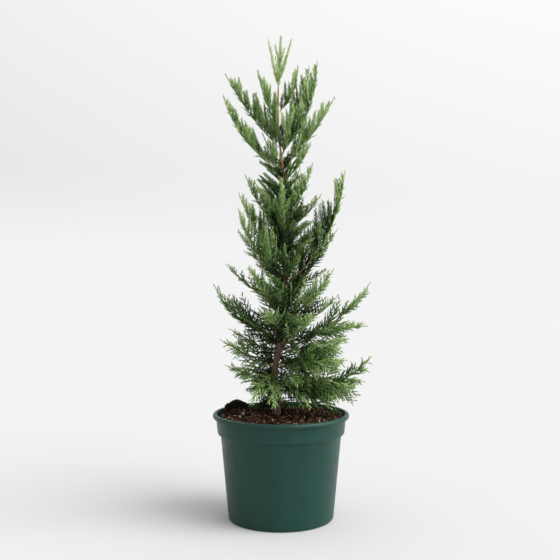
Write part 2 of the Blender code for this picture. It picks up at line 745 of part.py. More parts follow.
def leader_point(share):
    """A point on the leading shoot, which goes on from the trunk's tip."""
    foot, _ = trunk_at(TRUNK[-1][0])
    foot = foot + UP * GAP
    return foot + Vector((LEADER_SWAY * share, 0, (TOP_HEIGHT - foot.z) * share))


def leader_spray(share, azimuth, lean, length):
    """One spray of the leading shoot, which leans out and curves up."""
    turn, tip = math.radians(azimuth), math.radians(lean)
    lateral = Vector((math.cos(turn), math.sin(turn), 0))
    direction = UP * math.cos(tip) + lateral * math.sin(tip)
    across = UP * math.sin(tip) - lateral * math.cos(tip)
    spray = Spray(leader_point(share), direction, across, length)
    return spray_mesh(spray, [[reach * LEADER_TEETH for reach in pair] for pair in full_reaches(spray)])


def make_leader():
    rings = []
    for k in range(STEM_STEPS):
        share = 0.96 * k / (STEM_STEPS - 1)
        size = TRUNK[-1][3] * 0.94 * (1 - share) + LIMB_TIP_RADIUS * share
        turns = [2 * math.pi * side / TWIG_SIDES for side in range(TWIG_SIDES)]
        centre = leader_point(share)
        rings.append([centre + size * Vector((math.cos(a), math.sin(a), 0)) for a in turns])
    stem = add_object("foliage_leader", loft("leader", rings, leader_point(1)), "foliage")
    fuse(stem, [leader_spray(*shoot) for shoot in LEADER_SHOOTS], "leader")
    return stem


def main():
    clear_scene()
    make_pot()
    make_soil()
    make_trunk()
    lines = {bough.name: line_points(bough) for bough in BOUGHS}
    lines["leader"] = np.array([leader_point(k / LINE_POINTS) for k in range(LINE_POINTS + 1)])
    for bough in BOUGHS:
        if bough.bare:
            make_bough(bough)
        make_mass(bough, lines)
    make_leader()


main()
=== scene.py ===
"""The looks of a young leyland cypress in its nursery pot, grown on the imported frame, in metres."""

import math
from collections import namedtuple

import bpy
import numpy as np
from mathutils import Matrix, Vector, noise


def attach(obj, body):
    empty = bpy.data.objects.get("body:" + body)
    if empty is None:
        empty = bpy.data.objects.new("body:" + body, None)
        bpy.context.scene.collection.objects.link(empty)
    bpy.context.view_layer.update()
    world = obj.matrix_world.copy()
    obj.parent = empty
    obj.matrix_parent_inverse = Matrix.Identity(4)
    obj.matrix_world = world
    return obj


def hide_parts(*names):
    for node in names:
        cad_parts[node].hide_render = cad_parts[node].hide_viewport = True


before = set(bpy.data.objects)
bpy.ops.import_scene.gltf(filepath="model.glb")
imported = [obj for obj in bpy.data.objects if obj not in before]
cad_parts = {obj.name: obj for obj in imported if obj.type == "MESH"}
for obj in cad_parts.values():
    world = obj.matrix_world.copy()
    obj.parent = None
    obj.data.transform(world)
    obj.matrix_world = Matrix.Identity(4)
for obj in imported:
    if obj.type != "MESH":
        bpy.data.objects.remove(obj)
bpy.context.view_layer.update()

MASSES = sorted(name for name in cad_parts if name.startswith("foliage_"))
LIMBS = sorted(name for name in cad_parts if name.startswith("bough_"))
SEED = 41
UP = Vector((0, 0, 1))

# The pot, as in the part's source
POT_SIDES = 144
POT_HEIGHT = 0.215
RIM_RADIUS = 0.140
COLLAR_TOP_RADIUS = 0.1335
COLLAR_FOOT_RADIUS = 0.1305
COLLAR_FOOT_HEIGHT = 0.1745
WALL_TOP_RADIUS = 0.1238
WALL_FOOT_RADIUS = 0.1078
FOOT_FLAT_RADIUS = 0.1035
FOOT_ROUNDING = 0.0045
BEAD_HEIGHT = 0.0100
WALL = 0.0025
DRAIN_HOLES = 8
DRAIN_RADIUS = 0.0065
DRAIN_CIRCLE = 0.086
COLLAR_FILLET = 0.0030
BEAD_FILLET = 0.0036
RIM_ROLL = 0.0048
POT_SMOOTH = 40

# The inside of the pot's wall, as height and radius, from its foot to the bead
INNER_WALL = (
    (FOOT_ROUNDING + WALL, WALL_FOOT_RADIUS - WALL),
    (COLLAR_FOOT_HEIGHT - 0.0050, WALL_TOP_RADIUS - WALL),
    (COLLAR_FOOT_HEIGHT + 0.0025, COLLAR_FOOT_RADIUS - WALL),
    (POT_HEIGHT - BEAD_HEIGHT - 0.0010, COLLAR_TOP_RADIUS - WALL),
)

# The compost, as in the source, with finer relief, and what is strewn over it
SOIL_EDGE = 0.2035
SOIL_MOUND = 0.0055
CLOD_PLACE = (-0.090, 0.036)
CLOD_HEIGHT = 0.028
CLOD_SIZE = (0.024, 0.017, 0.014)
CLOD_MIDDLE = (-0.093, 0.034, 0.2195)
CLOD_RADIUS = 0.021
SOIL_SIDES = 168
SOIL_RINGS = 52
SOIL_GAP = 0.0004
SOIL_LUMPS = ((38, 0.0050), (95, 0.0042), (240, 0.0022))
LUMPS_END, LUMPS_FADE = 1.02, 9
CRUMBS = 3400
BARK_CHIPS = 520
PALE_CHIPS = 260
GRIT_GRAINS = 170
FIBRES = 230
FIBRE_JOINTS = 7
CRUMBS_FROM_WALL, FIBRES_FROM_WALL = 0.004, 0.012

# The trunk, as height, sway to the right, sway to the back and radius
TRUNK = (
    (0.2093, -0.0090, 0.0000, 0.0108),
    (0.2200, -0.0088, 0.0000, 0.0080),
    (0.2620, -0.0085, -0.0010, 0.0070),
    (0.3080, -0.0125, 0.0010, 0.0067),
    (0.3450, -0.0035, 0.0020, 0.0063),
    (0.3850, -0.0020, 0.0000, 0.0055),
    (0.4500, 0.0080, -0.0020, 0.0047),
    (0.5600, 0.0045, 0.0010, 0.0038),
    (0.6500, 0.0030, 0.0030, 0.0031),
    (0.7200, 0.0032, 0.0010, 0.0026),
    (0.7900, -0.0050, 0.0000, 0.0022),
    (0.8860, -0.0058, -0.0010, 0.0016),
)
TOP_HEIGHT = 0.992
LEADER_SWAY = 0.006
LEADER_CURVE = 0.15
LEADER_GREEN, LEADER_FRESHER = 3, 0.3
BARK_CHANGES = (0.42, 0.72)
TRUNK_RINGS = 150
TRUNK_SIDES, BOUGH_SIDES, TWIG_SIDES = 20, 12, 6

# Sprays of the leading shoot: share up the shoot, azimuth, lean from upright in degrees, and length
LEADER_SHOOTS = (
    (0.04, 196, 15, 0.085),
    (0.10, 350, 20, 0.080),
    (0.16, 248, 26, 0.040),
    (0.22, 20, 27, 0.044),
    (0.30, 70, 20, 0.050),
    (0.40, 332, 20, 0.034),
    (0.46, 150, 17, 0.036),
)

# Boughs, as in the source: height on the trunk, azimuth, reach, rise, curl below the straight line, bare
# share, and how long its sprays are beside the others'. Most have no bare foot and usual sprays.
Bough = namedtuple("Bough", "name root azimuth reach rise curl bare full", defaults=(0, 1.0))
BOUGHS = (
    Bough("left_inner", 0.802, 214, 0.051, 0.114, 0.05),
    Bough("right_inner", 0.832, 38, 0.052, 0.108, 0.12),
    Bough("left_high", 0.758, 173, 0.117, 0.161, 0.038, 0, 1.15),
    Bough("right_high", 0.748, 334, 0.081, 0.187, 0.11, 0, 1.06),
    Bough("right_high_inner", 0.770, 20, 0.066, 0.166, 0.08, 0, 1.1),
    Bough("back_high", 0.780, 98, 0.080, 0.112, 0.08),
    Bough("front_high_left", 0.712, 212, 0.050, 0.076, 0.03),
    Bough("front_high_right", 0.740, 290, 0.070, 0.105, 0.04, 0, 1.2),
    Bough("right_reach", 0.717, 13, 0.114, 0.158, 0.04),
    Bough("left_reach", 0.712, 194, 0.125, 0.154, 0.11, 0, 0.9),
    Bough("right_veil", 0.688, 42, 0.082, 0.092, 0.05),
    Bough("left_slip", 0.690, 150, 0.056, 0.050, 0.04),
    Bough("right_slip", 0.655, 350, 0.038, 0.066, 0.04),
    Bough("mid_right_top", 0.598, 338, 0.066, 0.131, 0.06),
    Bough("mid_left_top", 0.590, 166, 0.081, 0.120, 0.08),
    Bough("mid_front", 0.566, 268, 0.082, 0.126, 0.10),
    Bough("mid_back", 0.570, 84, 0.098, 0.120, 0.08),
    Bough("mid_right_slim", 0.590, 18, 0.084, 0.078, 0.09),
    Bough("mid_left_inner", 0.604, 205, 0.063, 0.086, 0.06),
    Bough("mid_right_inner", 0.508, 6, 0.066, 0.106, 0.08),
    Bough("mid_left", 0.528, 192, 0.094, 0.140, 0.08, 0, 1.2),
    Bough("mid_left_low", 0.486, 214, 0.112, 0.148, 0.10, 0, 1.2),
    Bough("mid_left_flat", 0.506, 146, 0.104, 0.042, 0.02, 0, 0.65),
    Bough("mid_right_plume", 0.476, 350, 0.124, 0.240, 0.11, 0.22, 1.05),
    Bough("mid_right_low", 0.452, 24, 0.124, 0.146, 0.03, 0.24),
    Bough("low_left_slim", 0.434, 180, 0.122, 0.088, 0.06, 0, 0.6),
    Bough("low_front_left", 0.404, 238, 0.122, 0.114, 0.00),
    Bough("low_right_tuft", 0.388, 350, 0.122, 0.072, 0.10, 0, 1.1),
    Bough("low_right_inner", 0.395, 322, 0.134, 0.118, 0.05),
    Bough("low_back", 0.416, 70, 0.136, 0.100, 0.06),
    Bough("low_back_left", 0.350, 128, 0.130, 0.062, 0.02, 0, 1.1),
    Bough("low_left_plume", 0.372, 171, 0.141, 0.111, 0.15, 0.26),
    Bough("low_front", 0.380, 262, 0.130, 0.050, 0.02, 0, 1.1),
    Bough("low_right_long", 0.342, 6, 0.194, 0.143, 0.09, 0.28, 0.75),
    Bough("low_right_flat", 0.352, 343, 0.188, 0.046, -0.03, 0.26),
    Bough("low_left_tuft", 0.334, 158, 0.112, 0.050, 0.02),
    Bough("low_right_tip", 0.332, 328, 0.168, 0.042, -0.03, 0, 1.35),
    Bough("low_front_tuft", 0.354, 305, 0.120, 0.074, 0.04, 0, 1.1),
    Bough("base_left_high", 0.308, 190, 0.116, 0.060, 0.02, 0, 1.2),
    Bough("base_right_back", 0.314, 28, 0.168, 0.044, 0.04, 0, 1.5),
    Bough("base_back", 0.282, 106, 0.118, -0.044, -0.10, 0, 1.4),
    Bough("base_front_left", 0.296, 246, 0.112, -0.052, -0.12),
    Bough("base_left", 0.270, 164, 0.112, 0.038, 0.00, 0, 1.1),
    Bough("base_front", 0.282, 268, 0.114, -0.042, -0.12),
    Bough("base_front_right", 0.276, 305, 0.118, -0.040, -0.12),
    Bough("base_right_long", 0.262, 352, 0.196, 0.074, 0.14, 0.28, 1.2),
    Bough("base_right_side", 0.280, 8, 0.190, -0.006, -0.04, 0, 1.6),
    Bough("base_right_front", 0.306, 322, 0.180, 0.028, -0.02, 0, 1.5),
    Bough("base_right_hang", 0.272, 334, 0.178, 0.006, -0.06, 0, 1.5),
    Bough("base_left_hang", 0.290, 214, 0.086, 0.000, -0.06),
)

# Limbs: the source's rule
LIMB_BASE_RADIUS = 0.0008
LIMB_RADIUS_SHARE = 0.0075
LIMB_TIP_RADIUS = 0.0006
LIMB_TO_TRUNK = 0.45
WOODY_SHARE = 0.62
BARK_INTO_LEAVES = 0.03

# Sprays: the source's rule, carried to finer twigs. A value's LOW stands for a bough at the crown's foot,
# and its HIGH for one near its top.
LEAFY_FROM = 0.048
LEAFY_SHARE_OF_BARE = 0.55
SPRAY_EVERY_LOW, SPRAY_EVERY_HIGH = 0.0060, 0.0090
FEWEST_SPRAYS = 6
SPRAY_ROLL_LOW, SPRAY_ROLL_HIGH = 62, 18
SPRAY_SPREAD_LOW, SPRAY_SPREAD_HIGH = 46, 34
SPRAY_OPEN_LOW, SPRAY_OPEN_HIGH = 1.0, 0.62
SPRAY_TILT_SPREAD = 36
SPRAY_STAND_LOW, SPRAY_STAND_HIGH = 1.5, 0.4
LOW_BOUGH, HIGH_BOUGH = 0.30, 0.70
TOP_BOUGHS_FROM = 0.60
TOP_ANGLE = 0.82
SPRAY_SHARE = 0.50
SPRAY_LEAST, SPRAY_MOST_LOW, SPRAY_MOST_HIGH = 0.042, 0.084, 0.052
SPRAY_ANGLE_FOOT, SPRAY_ANGLE_TIP = 46, 25
SPRAY_CURVE = 0.15
HANGING_BELOW = 0.345
HANGING_SLOPE = 0.35
HANGING_CURVE = -0.16
HANGING_ROLL = (25, 70)
OUT_PAST_TIP = 0.003
UP_PAST_TIP = 0.005
SPRAY_SHRINKS = (1.0, 0.84, 0.7, 0.58, 0.46)
SPRAY_TURNS = (0, 24, -24, 48, -48)
LEAST_SPRAY = 0.010
WHIP_LENGTH = 0.018
SPRAY_TAPER = 0.46
FOOT_SPRAY = 0.72
SPRAY_LENGTHS = (0.70, 1.12)
SPRAY_HALF_WIDTH = 0.30
SPRAY_WIDEST_AT = 0.55
PLUME_FROM = 0.16
PLUME_PAST_BARE = 0.06
ROOM_TO_SOIL = 0.003
ROOM_TO_RIM = 0.014
RIM_WIDTH = 0.014

# Inner sprays all round the trunk: first and last height, spacing, lean from upright, length by height and
# how it varies, tilt, curve out and down, and lightest green, their dark greens partly older inner foliage
# and partly painted shade
TRUNK_SPRAYS = (0.345, 0.730, 0.0043)
TRUNK_SPRAY_LEAN = (25, 62)
TRUNK_SPRAY_HEIGHTS = (0.27, 0.45, 0.62, 0.72, 0.80)
TRUNK_SPRAY_LENGTHS = (0.085, 0.110, 0.088, 0.055, 0.045)
TRUNK_SPRAY_VARIES = (0.65, 1.05)
TRUNK_SPRAY_TILT = (-60, 60)
TRUNK_SPRAY_OUT, TRUNK_SPRAY_DOWN = 0.10, 0.08
TRUNK_SPRAY_LIGHTEST = 1.3
GOLDEN_TURN = 2.39996

# Sprays behind the trunk's foot, whose dark greens are painted shade: first and last height and spacing,
# azimuth, length, sag, tilt and lightest green, how far they drop at the most, and how far they rise at
# one height and steeper above it
BACK_SPRAYS = (0.228, 0.368, 0.0021)
BACK_SPRAY_TURN = (35, 150)
BACK_SPRAY_LENGTH = (0.045, 0.085)
BACK_SPRAY_SAG = 0.12
BACK_SPRAY_TILT = (-75, 75)
BACK_SPRAY_LIGHTEST_IN_SHADE = 0.8
BACK_SPRAY_DROP = -0.45
BACK_SPRAY_RISE, BACK_SPRAY_RISE_AT, BACK_SPRAY_STEEPER = 0.2, 0.27, 6

# Foliage colours, dealt out by spray
GREENS = {
    "deep": (0.018, 0.040, 0.012),
    "mature": (0.080, 0.155, 0.043),
    "fresh": (0.185, 0.315, 0.102),
    "pale": (0.340, 0.485, 0.195),
    "tip": (0.480, 0.600, 0.315),
}

# How far the greens freshen from a shoot's foot to its tip, and how much they differ from shoot to shoot
FRESHER_ALONG_SPRAY, FRESHER_ALONG_BRANCHLET = 1.9, 0.7
GREEN_SPREAD = 0.22

# A bough's own green, from 0 for deep to 4 for tip: low and high in the crown, more in front as painted
# light on the lit side, lighter from the trunk to its tip as fresher growth and as painted shade inside
# the crown, and spread from bough to bough and from spray to spray
OWN_GREEN_LOW, OWN_GREEN_HIGH = 1.10, 1.75
FRONT_PAINTED_LIGHT = 0.4
FRESHER_AND_LESS_SHADED_ALONG_LOW, FRESHER_AND_LESS_SHADED_ALONG_HIGH = 3.2, 1.5
BOUGH_GREEN_SPREAD, SPRAY_GREEN_SPREAD = 0.4, 0.8
FRESHEST_SPRAY = 3
MIDDLE_OF_BOUGH, MIDDLE_OF_SHOOT = 0.45, 0.40
FRONT_BELOW = -0.3

# The heights where the leaves are parted into low, middle and high pieces
TIERS = (0.37, 0.56)

# The light of the room: where it is strongest, its least and most, where the glow stands, its reach and
# strength, how far up the horizon's own light fades out, and that light
ROOM_TOWARDS = (0.34, 0.44, 0.83)
ROOM_LIGHT = (0.12, 1.10)
GLOW_TOWARDS = (0.85, -0.38, 0.34)
GLOW_REACH = (0.66, 1)
GLOW_LIGHT = 3.4
HORIZON_FADE = (0, 0.12)
HORIZON_LIGHT = 0.90
KEY_LIGHT = 1.2
KEY_WIDTH = 36
KEY_TURN = (38, 0, 70)
FLOOR_RADIUS = 40
FLOOR_DROP = 0.0004
FLOOR_COLOUR = (0.575, 0.575, 0.575)

# The camera, as the photo was taken
CAMERA_DISTANCE = 1.79
CAMERA_HEIGHT = 0.527
CAMERA_SENSOR, CAMERA_LENS = 36, 55.8
CAMERA_SHIFT_RIGHT = -1 / 560
CAMERA_SHIFT_UP = -0.034


# Small helpers


def deselect():
    """Leaves every object unselected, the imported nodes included."""
    for found in bpy.context.selected_objects:
        found.select_set(False)


def only(piece):
    deselect()
    piece.select_set(True)
    bpy.context.view_layer.objects.active = piece


def seat(piece):
    """Puts the piece's place, turn and scale into its mesh."""
    only(piece)
    bpy.ops.object.transform_apply(location=True, rotation=True, scale=True)


def level_way(turn):
    """The level direction at an azimuth."""
    return Vector((math.cos(turn), math.sin(turn), 0))


def smooth(piece, degrees=60):
    only(piece)
    bpy.ops.object.shade_smooth_by_angle(angle=math.radians(degrees))


def dress(piece, name, surface, nodes):
    """Names a finished piece, gives it its material, says what it rides on, and hides the imported parts
    that it stands for.
    """
    piece.name = name
    piece.data.name = name
    piece.data.materials.clear()
    piece.data.materials.append(surface)
    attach(piece, "root")
    if nodes:
        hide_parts(*nodes)


def mesh_piece(name, points, faces):
    """A new object from points and three-cornered faces, for leaves and crumbs past counting by hand."""
    mesh = bpy.data.meshes.new(name)
    points = np.asarray(points, dtype=np.float32)
    faces = np.asarray(faces, dtype=np.int32)
    mesh.vertices.add(len(points))
    mesh.vertices.foreach_set("co", points.ravel())
    mesh.loops.add(faces.size)
    mesh.loops.foreach_set("vertex_index", faces.ravel())
    mesh.polygons.add(len(faces))
    mesh.polygons.foreach_set("loop_start", np.arange(0, faces.size, 3, dtype=np.int32))
    mesh.update(calc_edges=True)
    mesh.shade_smooth()
    piece = bpy.data.objects.new(name, mesh)
    bpy.context.scene.collection.objects.link(piece)
    return piece


# Materials


class Recipe:
    """The parts that a material or the room's light is worked out by, each fed by the ones before it."""

    def __init__(self, tree, last):
        self.tree = tree
        self.last = tree.nodes[last]

    def fill(self, part, values, feeds):
        for name, value in values.items():
            part.inputs[name].default_value = value
        for name, output in feeds.items():
            self.tree.links.new(output, part.inputs[name])

    def add(self, kind, values, feeds, result, **settings):
        """A new part with its settings, its values and its feeds, as the result that it gives."""
        part = self.tree.nodes.new(kind)
        for name, setting in settings.items():
            setattr(part, name, setting)
        self.fill(part, values, feeds)
        return part.outputs[result]

    def span(self, value, reach, result, easing="LINEAR"):
        """A value carried from one span to another, held at its ends."""
        values = dict(zip(("From Min", "From Max", "To Min", "To Max"), (*reach, *result)))
        feeds = {"Value": value}
        return self.add("ShaderNodeMapRange", values, feeds, "Result", interpolation_type=easing)


class Finish(Recipe):
    """A material under way."""

    def __init__(self, name, colour, dullness, shine=0.5):
        self.surface = bpy.data.materials.new(name)
        self.surface.use_nodes = True
        super().__init__(self.surface.node_tree, "Principled BSDF")
        values = {"Base Color": (*colour, 1), "Roughness": dullness, "Specular IOR Level": shine}
        self.fill(self.last, values, {})

    def place(self, stretch=(1, 1, 1)):
        """Object coordinates, stretched along an axis where the pattern is."""
        here = self.add("ShaderNodeTexCoord", {}, {}, "Object")
        return self.add("ShaderNodeMapping", {"Scale": stretch}, {"Vector": here}, "Vector")

    def grain(self, place, scale, detail=4, roughness=0.55):
        """Noise of one size, from nought to one."""
        values = {"Scale": scale, "Detail": detail, "Roughness": roughness}
        return self.add("ShaderNodeTexNoise", values, {"Vector": place}, "Fac")

    def ramp(self, value, *stops):
        """A colour between two, from pairs of value and colour."""
        made = self.add("ShaderNodeValToRGB", {}, {"Fac": value}, "Color")
        for element, (spot, colour) in zip(made.node.color_ramp.elements, stops):
            element.position = spot
            element.color = (*colour, 1)
        return made

    def paint(self, colour, onto="Base Color"):
        self.fill(self.last, {}, {onto: colour})

    def relief(self, height, strength, distance):
        values = {"Strength": strength, "Distance": distance}
        self.paint(self.add("ShaderNodeBump", values, {"Height": height}, "Normal"), "Normal")


def pot_plastic():
    """Satin moulded plastic in dark bottle green, faintly mottled, with a fine moulded grain."""
    finish = Finish("bottle_green_plastic", (0.003, 0.039, 0.029), 0.40, 0.30)
    place = finish.place()
    mottle = finish.grain(place, 22, 5)
    finish.paint(finish.ramp(mottle, (0.30, (0.0025, 0.036, 0.0265)), (0.70, (0.0040, 0.043, 0.0320))))
    wear = finish.grain(place, 60, 6)
    finish.paint(finish.ramp(wear, (0.3, (0.36,) * 3), (0.7, (0.47,) * 3)), "Roughness")
    finish.relief(finish.grain(place, 900, 2), 0.12, 0.0003)
    return finish.surface


def earth(name, dark, light, scale):
    """Crumbly matt earth between two browns."""
    finish = Finish(name, dark, 0.95, 0.08)
    place = finish.place()
    finish.paint(finish.ramp(finish.grain(place, scale, 8, 0.7), (0.40, dark), (0.64, light)))
    finish.relief(finish.grain(place, scale * 2.2, 6, 0.7), 0.8, 0.0012)
    return finish.surface


def bark_surface():
    """Fibrous bark, grey-brown and dull low down, darkened there partly as painted shade under the crown,
    smoother and more orange towards the leader.
    """
    finish = Finish("fibrous_bark", (0.12, 0.07, 0.045), 0.85)
    strands = finish.grain(finish.place((1, 1, 0.16)), 420, 7, 0.65)
    # The low colours, near-black at their darkest, are partly older bark and partly painted shade under
    # the crown.
    low = finish.ramp(strands, (0.3, (0.028, 0.016, 0.009)), (0.7, (0.155, 0.097, 0.060)))
    high = finish.ramp(strands, (0.3, (0.27, 0.125, 0.050)), (0.7, (0.46, 0.25, 0.115)))
    height = finish.add("ShaderNodeSeparateXYZ", {}, {"Vector": finish.place()}, "Z")
    feeds = {"Factor": finish.span(height, BARK_CHANGES, (0, 1)), "A": low, "B": high}
    finish.paint(finish.add("ShaderNodeMix", {}, feeds, "Result", data_type="RGBA"))
    finish.relief(strands, 0.7, 0.0010)
    return finish.surface


def grit_surface():
    """Porous white grit, chalky and a little stained."""
    finish = Finish("white_grit", (0.62, 0.55, 0.45), 0.9)
    place = finish.place()
    stain = finish.grain(place, 700)
    finish.paint(finish.ramp(stain, (0.35, (0.40, 0.32, 0.23)), (0.55, (0.72, 0.66, 0.56))))
    finish.relief(finish.grain(place, 1800), 0.5, 0.0004)
    return finish.surface


def green_surface(name, colour):
    """Living scale leaves: waxy green, darker in places, yellower in others, and knobbly with scales."""
    finish = Finish(name + "_green_leaf", colour, 0.62, 0.12)
    place = finish.place()
    shaded = tuple(c * k for c, k in zip(colour, (0.66, 0.74, 0.70)))
    sunny = tuple(c * k for c, k in zip(colour, (1.40, 1.24, 1.20)))
    finish.paint(finish.ramp(finish.grain(place, 95), (0.32, shaded), (0.68, sunny)))
    finish.relief(finish.grain(place, 1500, 2), 0.5, 0.0003)
    return finish.surface


# The pot


def arc(middle, radius, start, end, steps):
    """Points on an arc in radius and height, with its angles in degrees."""
    turns = np.radians(np.linspace(start, end, steps + 1))
    return [(middle[0] + radius * math.cos(a), middle[1] + radius * math.sin(a)) for a in turns]


def pot_outline():
    """The wall's outline from the foot's flat, up outside, over the rolled rim and down inside."""
    bead_foot = POT_HEIGHT - BEAD_HEIGHT
    foot = (FOOT_FLAT_RADIUS + 0.0002, FOOT_ROUNDING)
    outline = arc(foot, FOOT_ROUNDING, -82, -6, 6)
    outline += [(WALL_TOP_RADIUS, COLLAR_FOOT_HEIGHT - 0.0042)]
    outline += [(WALL_TOP_RADIUS + 0.0009, COLLAR_FOOT_HEIGHT - 0.0022)]
    collar = (COLLAR_FOOT_RADIUS - COLLAR_FILLET, COLLAR_FOOT_HEIGHT + 0.0020)
    outline += arc(collar, COLLAR_FILLET, -62, 0, 5)
    outline += [(COLLAR_TOP_RADIUS - 0.0004, bead_foot - 0.0030)]
    outline += [(COLLAR_TOP_RADIUS + 0.0002, bead_foot - 0.0008)]
    outline += arc((RIM_RADIUS - BEAD_FILLET, bead_foot + 0.0038), BEAD_FILLET, -100, 0, 6)
    outline += arc((RIM_RADIUS - RIM_ROLL, POT_HEIGHT - RIM_ROLL), RIM_ROLL, 0, 125, 9)
    outline += [(radius, height) for height, radius in reversed(INNER_WALL)]
    return outline + [(FOOT_FLAT_RADIUS - WALL, WALL)]


def turned(outline, sides):
    """A closed round body: a disc at the outline's first point, drawn on ring by ring through the rest."""
    deselect()
    radius, height = outline[0]
    bpy.ops.mesh.primitive_circle_add(
        vertices=sides, radius=radius, fill_type="NGON", location=(0, 0, height)
    )
    piece = bpy.context.active_object
    bpy.ops.object.mode_set(mode="EDIT")
    bpy.ops.mesh.select_all(action="SELECT")
    for next_radius, next_height in outline[1:]:
        rise = (0, 0, next_height - height)
        bpy.ops.mesh.extrude_region_move(TRANSFORM_OT_translate={"value": rise})
        share = next_radius / radius
        bpy.ops.transform.resize(value=(share, share, 1), center_override=(0, 0, next_height))
        radius, height = next_radius, next_height
    bpy.ops.mesh.select_all(action="SELECT")
    bpy.ops.mesh.normals_make_consistent(inside=False)
    bpy.ops.object.mode_set(mode="OBJECT")
    seat(piece)
    return piece


def drill_drains(pot):
    """Cuts the drain holes round the pot's floor."""
    for hole in range(DRAIN_HOLES):
        turn = 2 * math.pi * (hole + 0.5) / DRAIN_HOLES
        spot = (DRAIN_CIRCLE * math.cos(turn), DRAIN_CIRCLE * math.sin(turn), 0)
        deselect()
        bpy.ops.mesh.primitive_cylinder_add(
            vertices=28, radius=DRAIN_RADIUS, depth=6 * WALL, location=spot
        )
        pin = bpy.context.active_object
        cut = pot.modifiers.new("drain", "BOOLEAN")
        cut.operation = "DIFFERENCE"
        cut.object = pin
        only(pot)
        bpy.ops.object.modifier_apply(modifier=cut.name)
        bpy.data.objects.remove(pin, do_unlink=True)


def make_pot():
    pot = turned(pot_outline(), POT_SIDES)
    drill_drains(pot)
    smooth(pot, POT_SMOOTH)
    dress(pot, "nursery_pot", pot_plastic(), ["pot"])


# The compost


def inner_radius(height):
    """The radius inside the pot's wall at a height."""
    return float(np.interp(height, *zip(*INNER_WALL)))


def soil_height(x, y):
    """The source's surface of the compost, roughened with clods and crumbs."""
    share = min(1.0, math.hypot(x, y) / inner_radius(SOIL_EDGE))
    clod = math.exp(-((x - CLOD_PLACE[0]) ** 2 + (y - CLOD_PLACE[1]) ** 2) / CLOD_RADIUS**2)
    lumps = sum(height * noise.noise(Vector((x, y, 0)) * scale) for scale, height in SOIL_LUMPS)
    inwards = min(1, (LUMPS_END - share) * LUMPS_FADE)
    return SOIL_EDGE + SOIL_MOUND * (1 - share**2) + CLOD_HEIGHT * clod + lumps * inwards


def make_compost():
    """The plug of compost, its top drawn in over many rings and roughened."""
    edge = inner_radius(SOIL_EDGE) - SOIL_GAP
    outline = [(FOOT_FLAT_RADIUS - WALL - 0.001, WALL + SOIL_GAP)]
    outline += [(radius - SOIL_GAP, height) for height, radius in INNER_WALL[:3]]
    outline += [(edge * (1 - k / SOIL_RINGS), SOIL_EDGE) for k in range(SOIL_RINGS)]
    plug = turned(outline, SOIL_SIDES)
    for corner in plug.data.vertices:
        if corner.co.z > SOIL_EDGE - 0.001:
            corner.co.z = soil_height(corner.co.x, corner.co.y)
    smooth(plug)
    # The near-black is partly the compost's own dark brown and partly painted shade between the lumps.
    surface = earth("damp_compost", (0.0015, 0.0010, 0.0006), (0.050, 0.027, 0.014), 130)
    dress(plug, "compost", surface, ["soil"])


# A lump's corners, two rings of five between two ends, and its faces
LUMP = np.array((
    (0, 0, 1), (0.9, 0, 0.25), (0.28, 0.85, 0.25), (-0.72, 0.53, 0.25), (-0.72, -0.53, 0.25),
    (0.28, -0.85, 0.25), (0.72, 0.53, -0.4), (-0.28, 0.85, -0.4), (-0.9, 0, -0.4),
    (-0.28, -0.85, -0.4), (0.72, -0.53, -0.4), (0, 0, -1),
))
LUMP_FACES = np.array((
    (0, 1, 2), (0, 2, 3), (0, 3, 4), (0, 4, 5), (0, 5, 1), (1, 6, 2), (2, 7, 3), (3, 8, 4),
    (4, 9, 5), (5, 10, 1), (6, 7, 2), (7, 8, 3), (8, 9, 4), (9, 10, 5), (10, 6, 1), (11, 7, 6),
    (11, 8, 7), (11, 9, 8), (11, 10, 9), (11, 6, 10),
))


def scatter(chance, count, sizes, name, surface, sink):
    """Small lumps of many sizes strewn over the compost, each squashed and turned its own way."""
    points, faces = [], []
    edge = inner_radius(SOIL_EDGE) - CRUMBS_FROM_WALL
    for index in range(count):
        radius, turn = edge * math.sqrt(chance.random()), chance.uniform(0, 2 * math.pi)
        x, y = radius * math.cos(turn), radius * math.sin(turn)
        squash = ((0.7, 1.5), (0.6, 1.1), (0.5, 0.9))
        size = chance.uniform(*sizes) / 2 * np.array([chance.uniform(*limits) for limits in squash])
        axes, _ = np.linalg.qr(chance.normal(size=(3, 3)))
        uneven = 1 + chance.uniform(-0.25, 0.25, (12, 1))
        if np.linalg.det(axes) < 0:
            axes, uneven = axes * (1, 1, -1), 1
        points.append((LUMP * uneven * size) @ axes + (x, y, soil_height(x, y) + sink * size[2]))
        faces.append(LUMP_FACES + len(LUMP) * index)
    piece = mesh_piece(name, np.vstack(points), np.vstack(faces))
    dress(piece, name, surface, [])


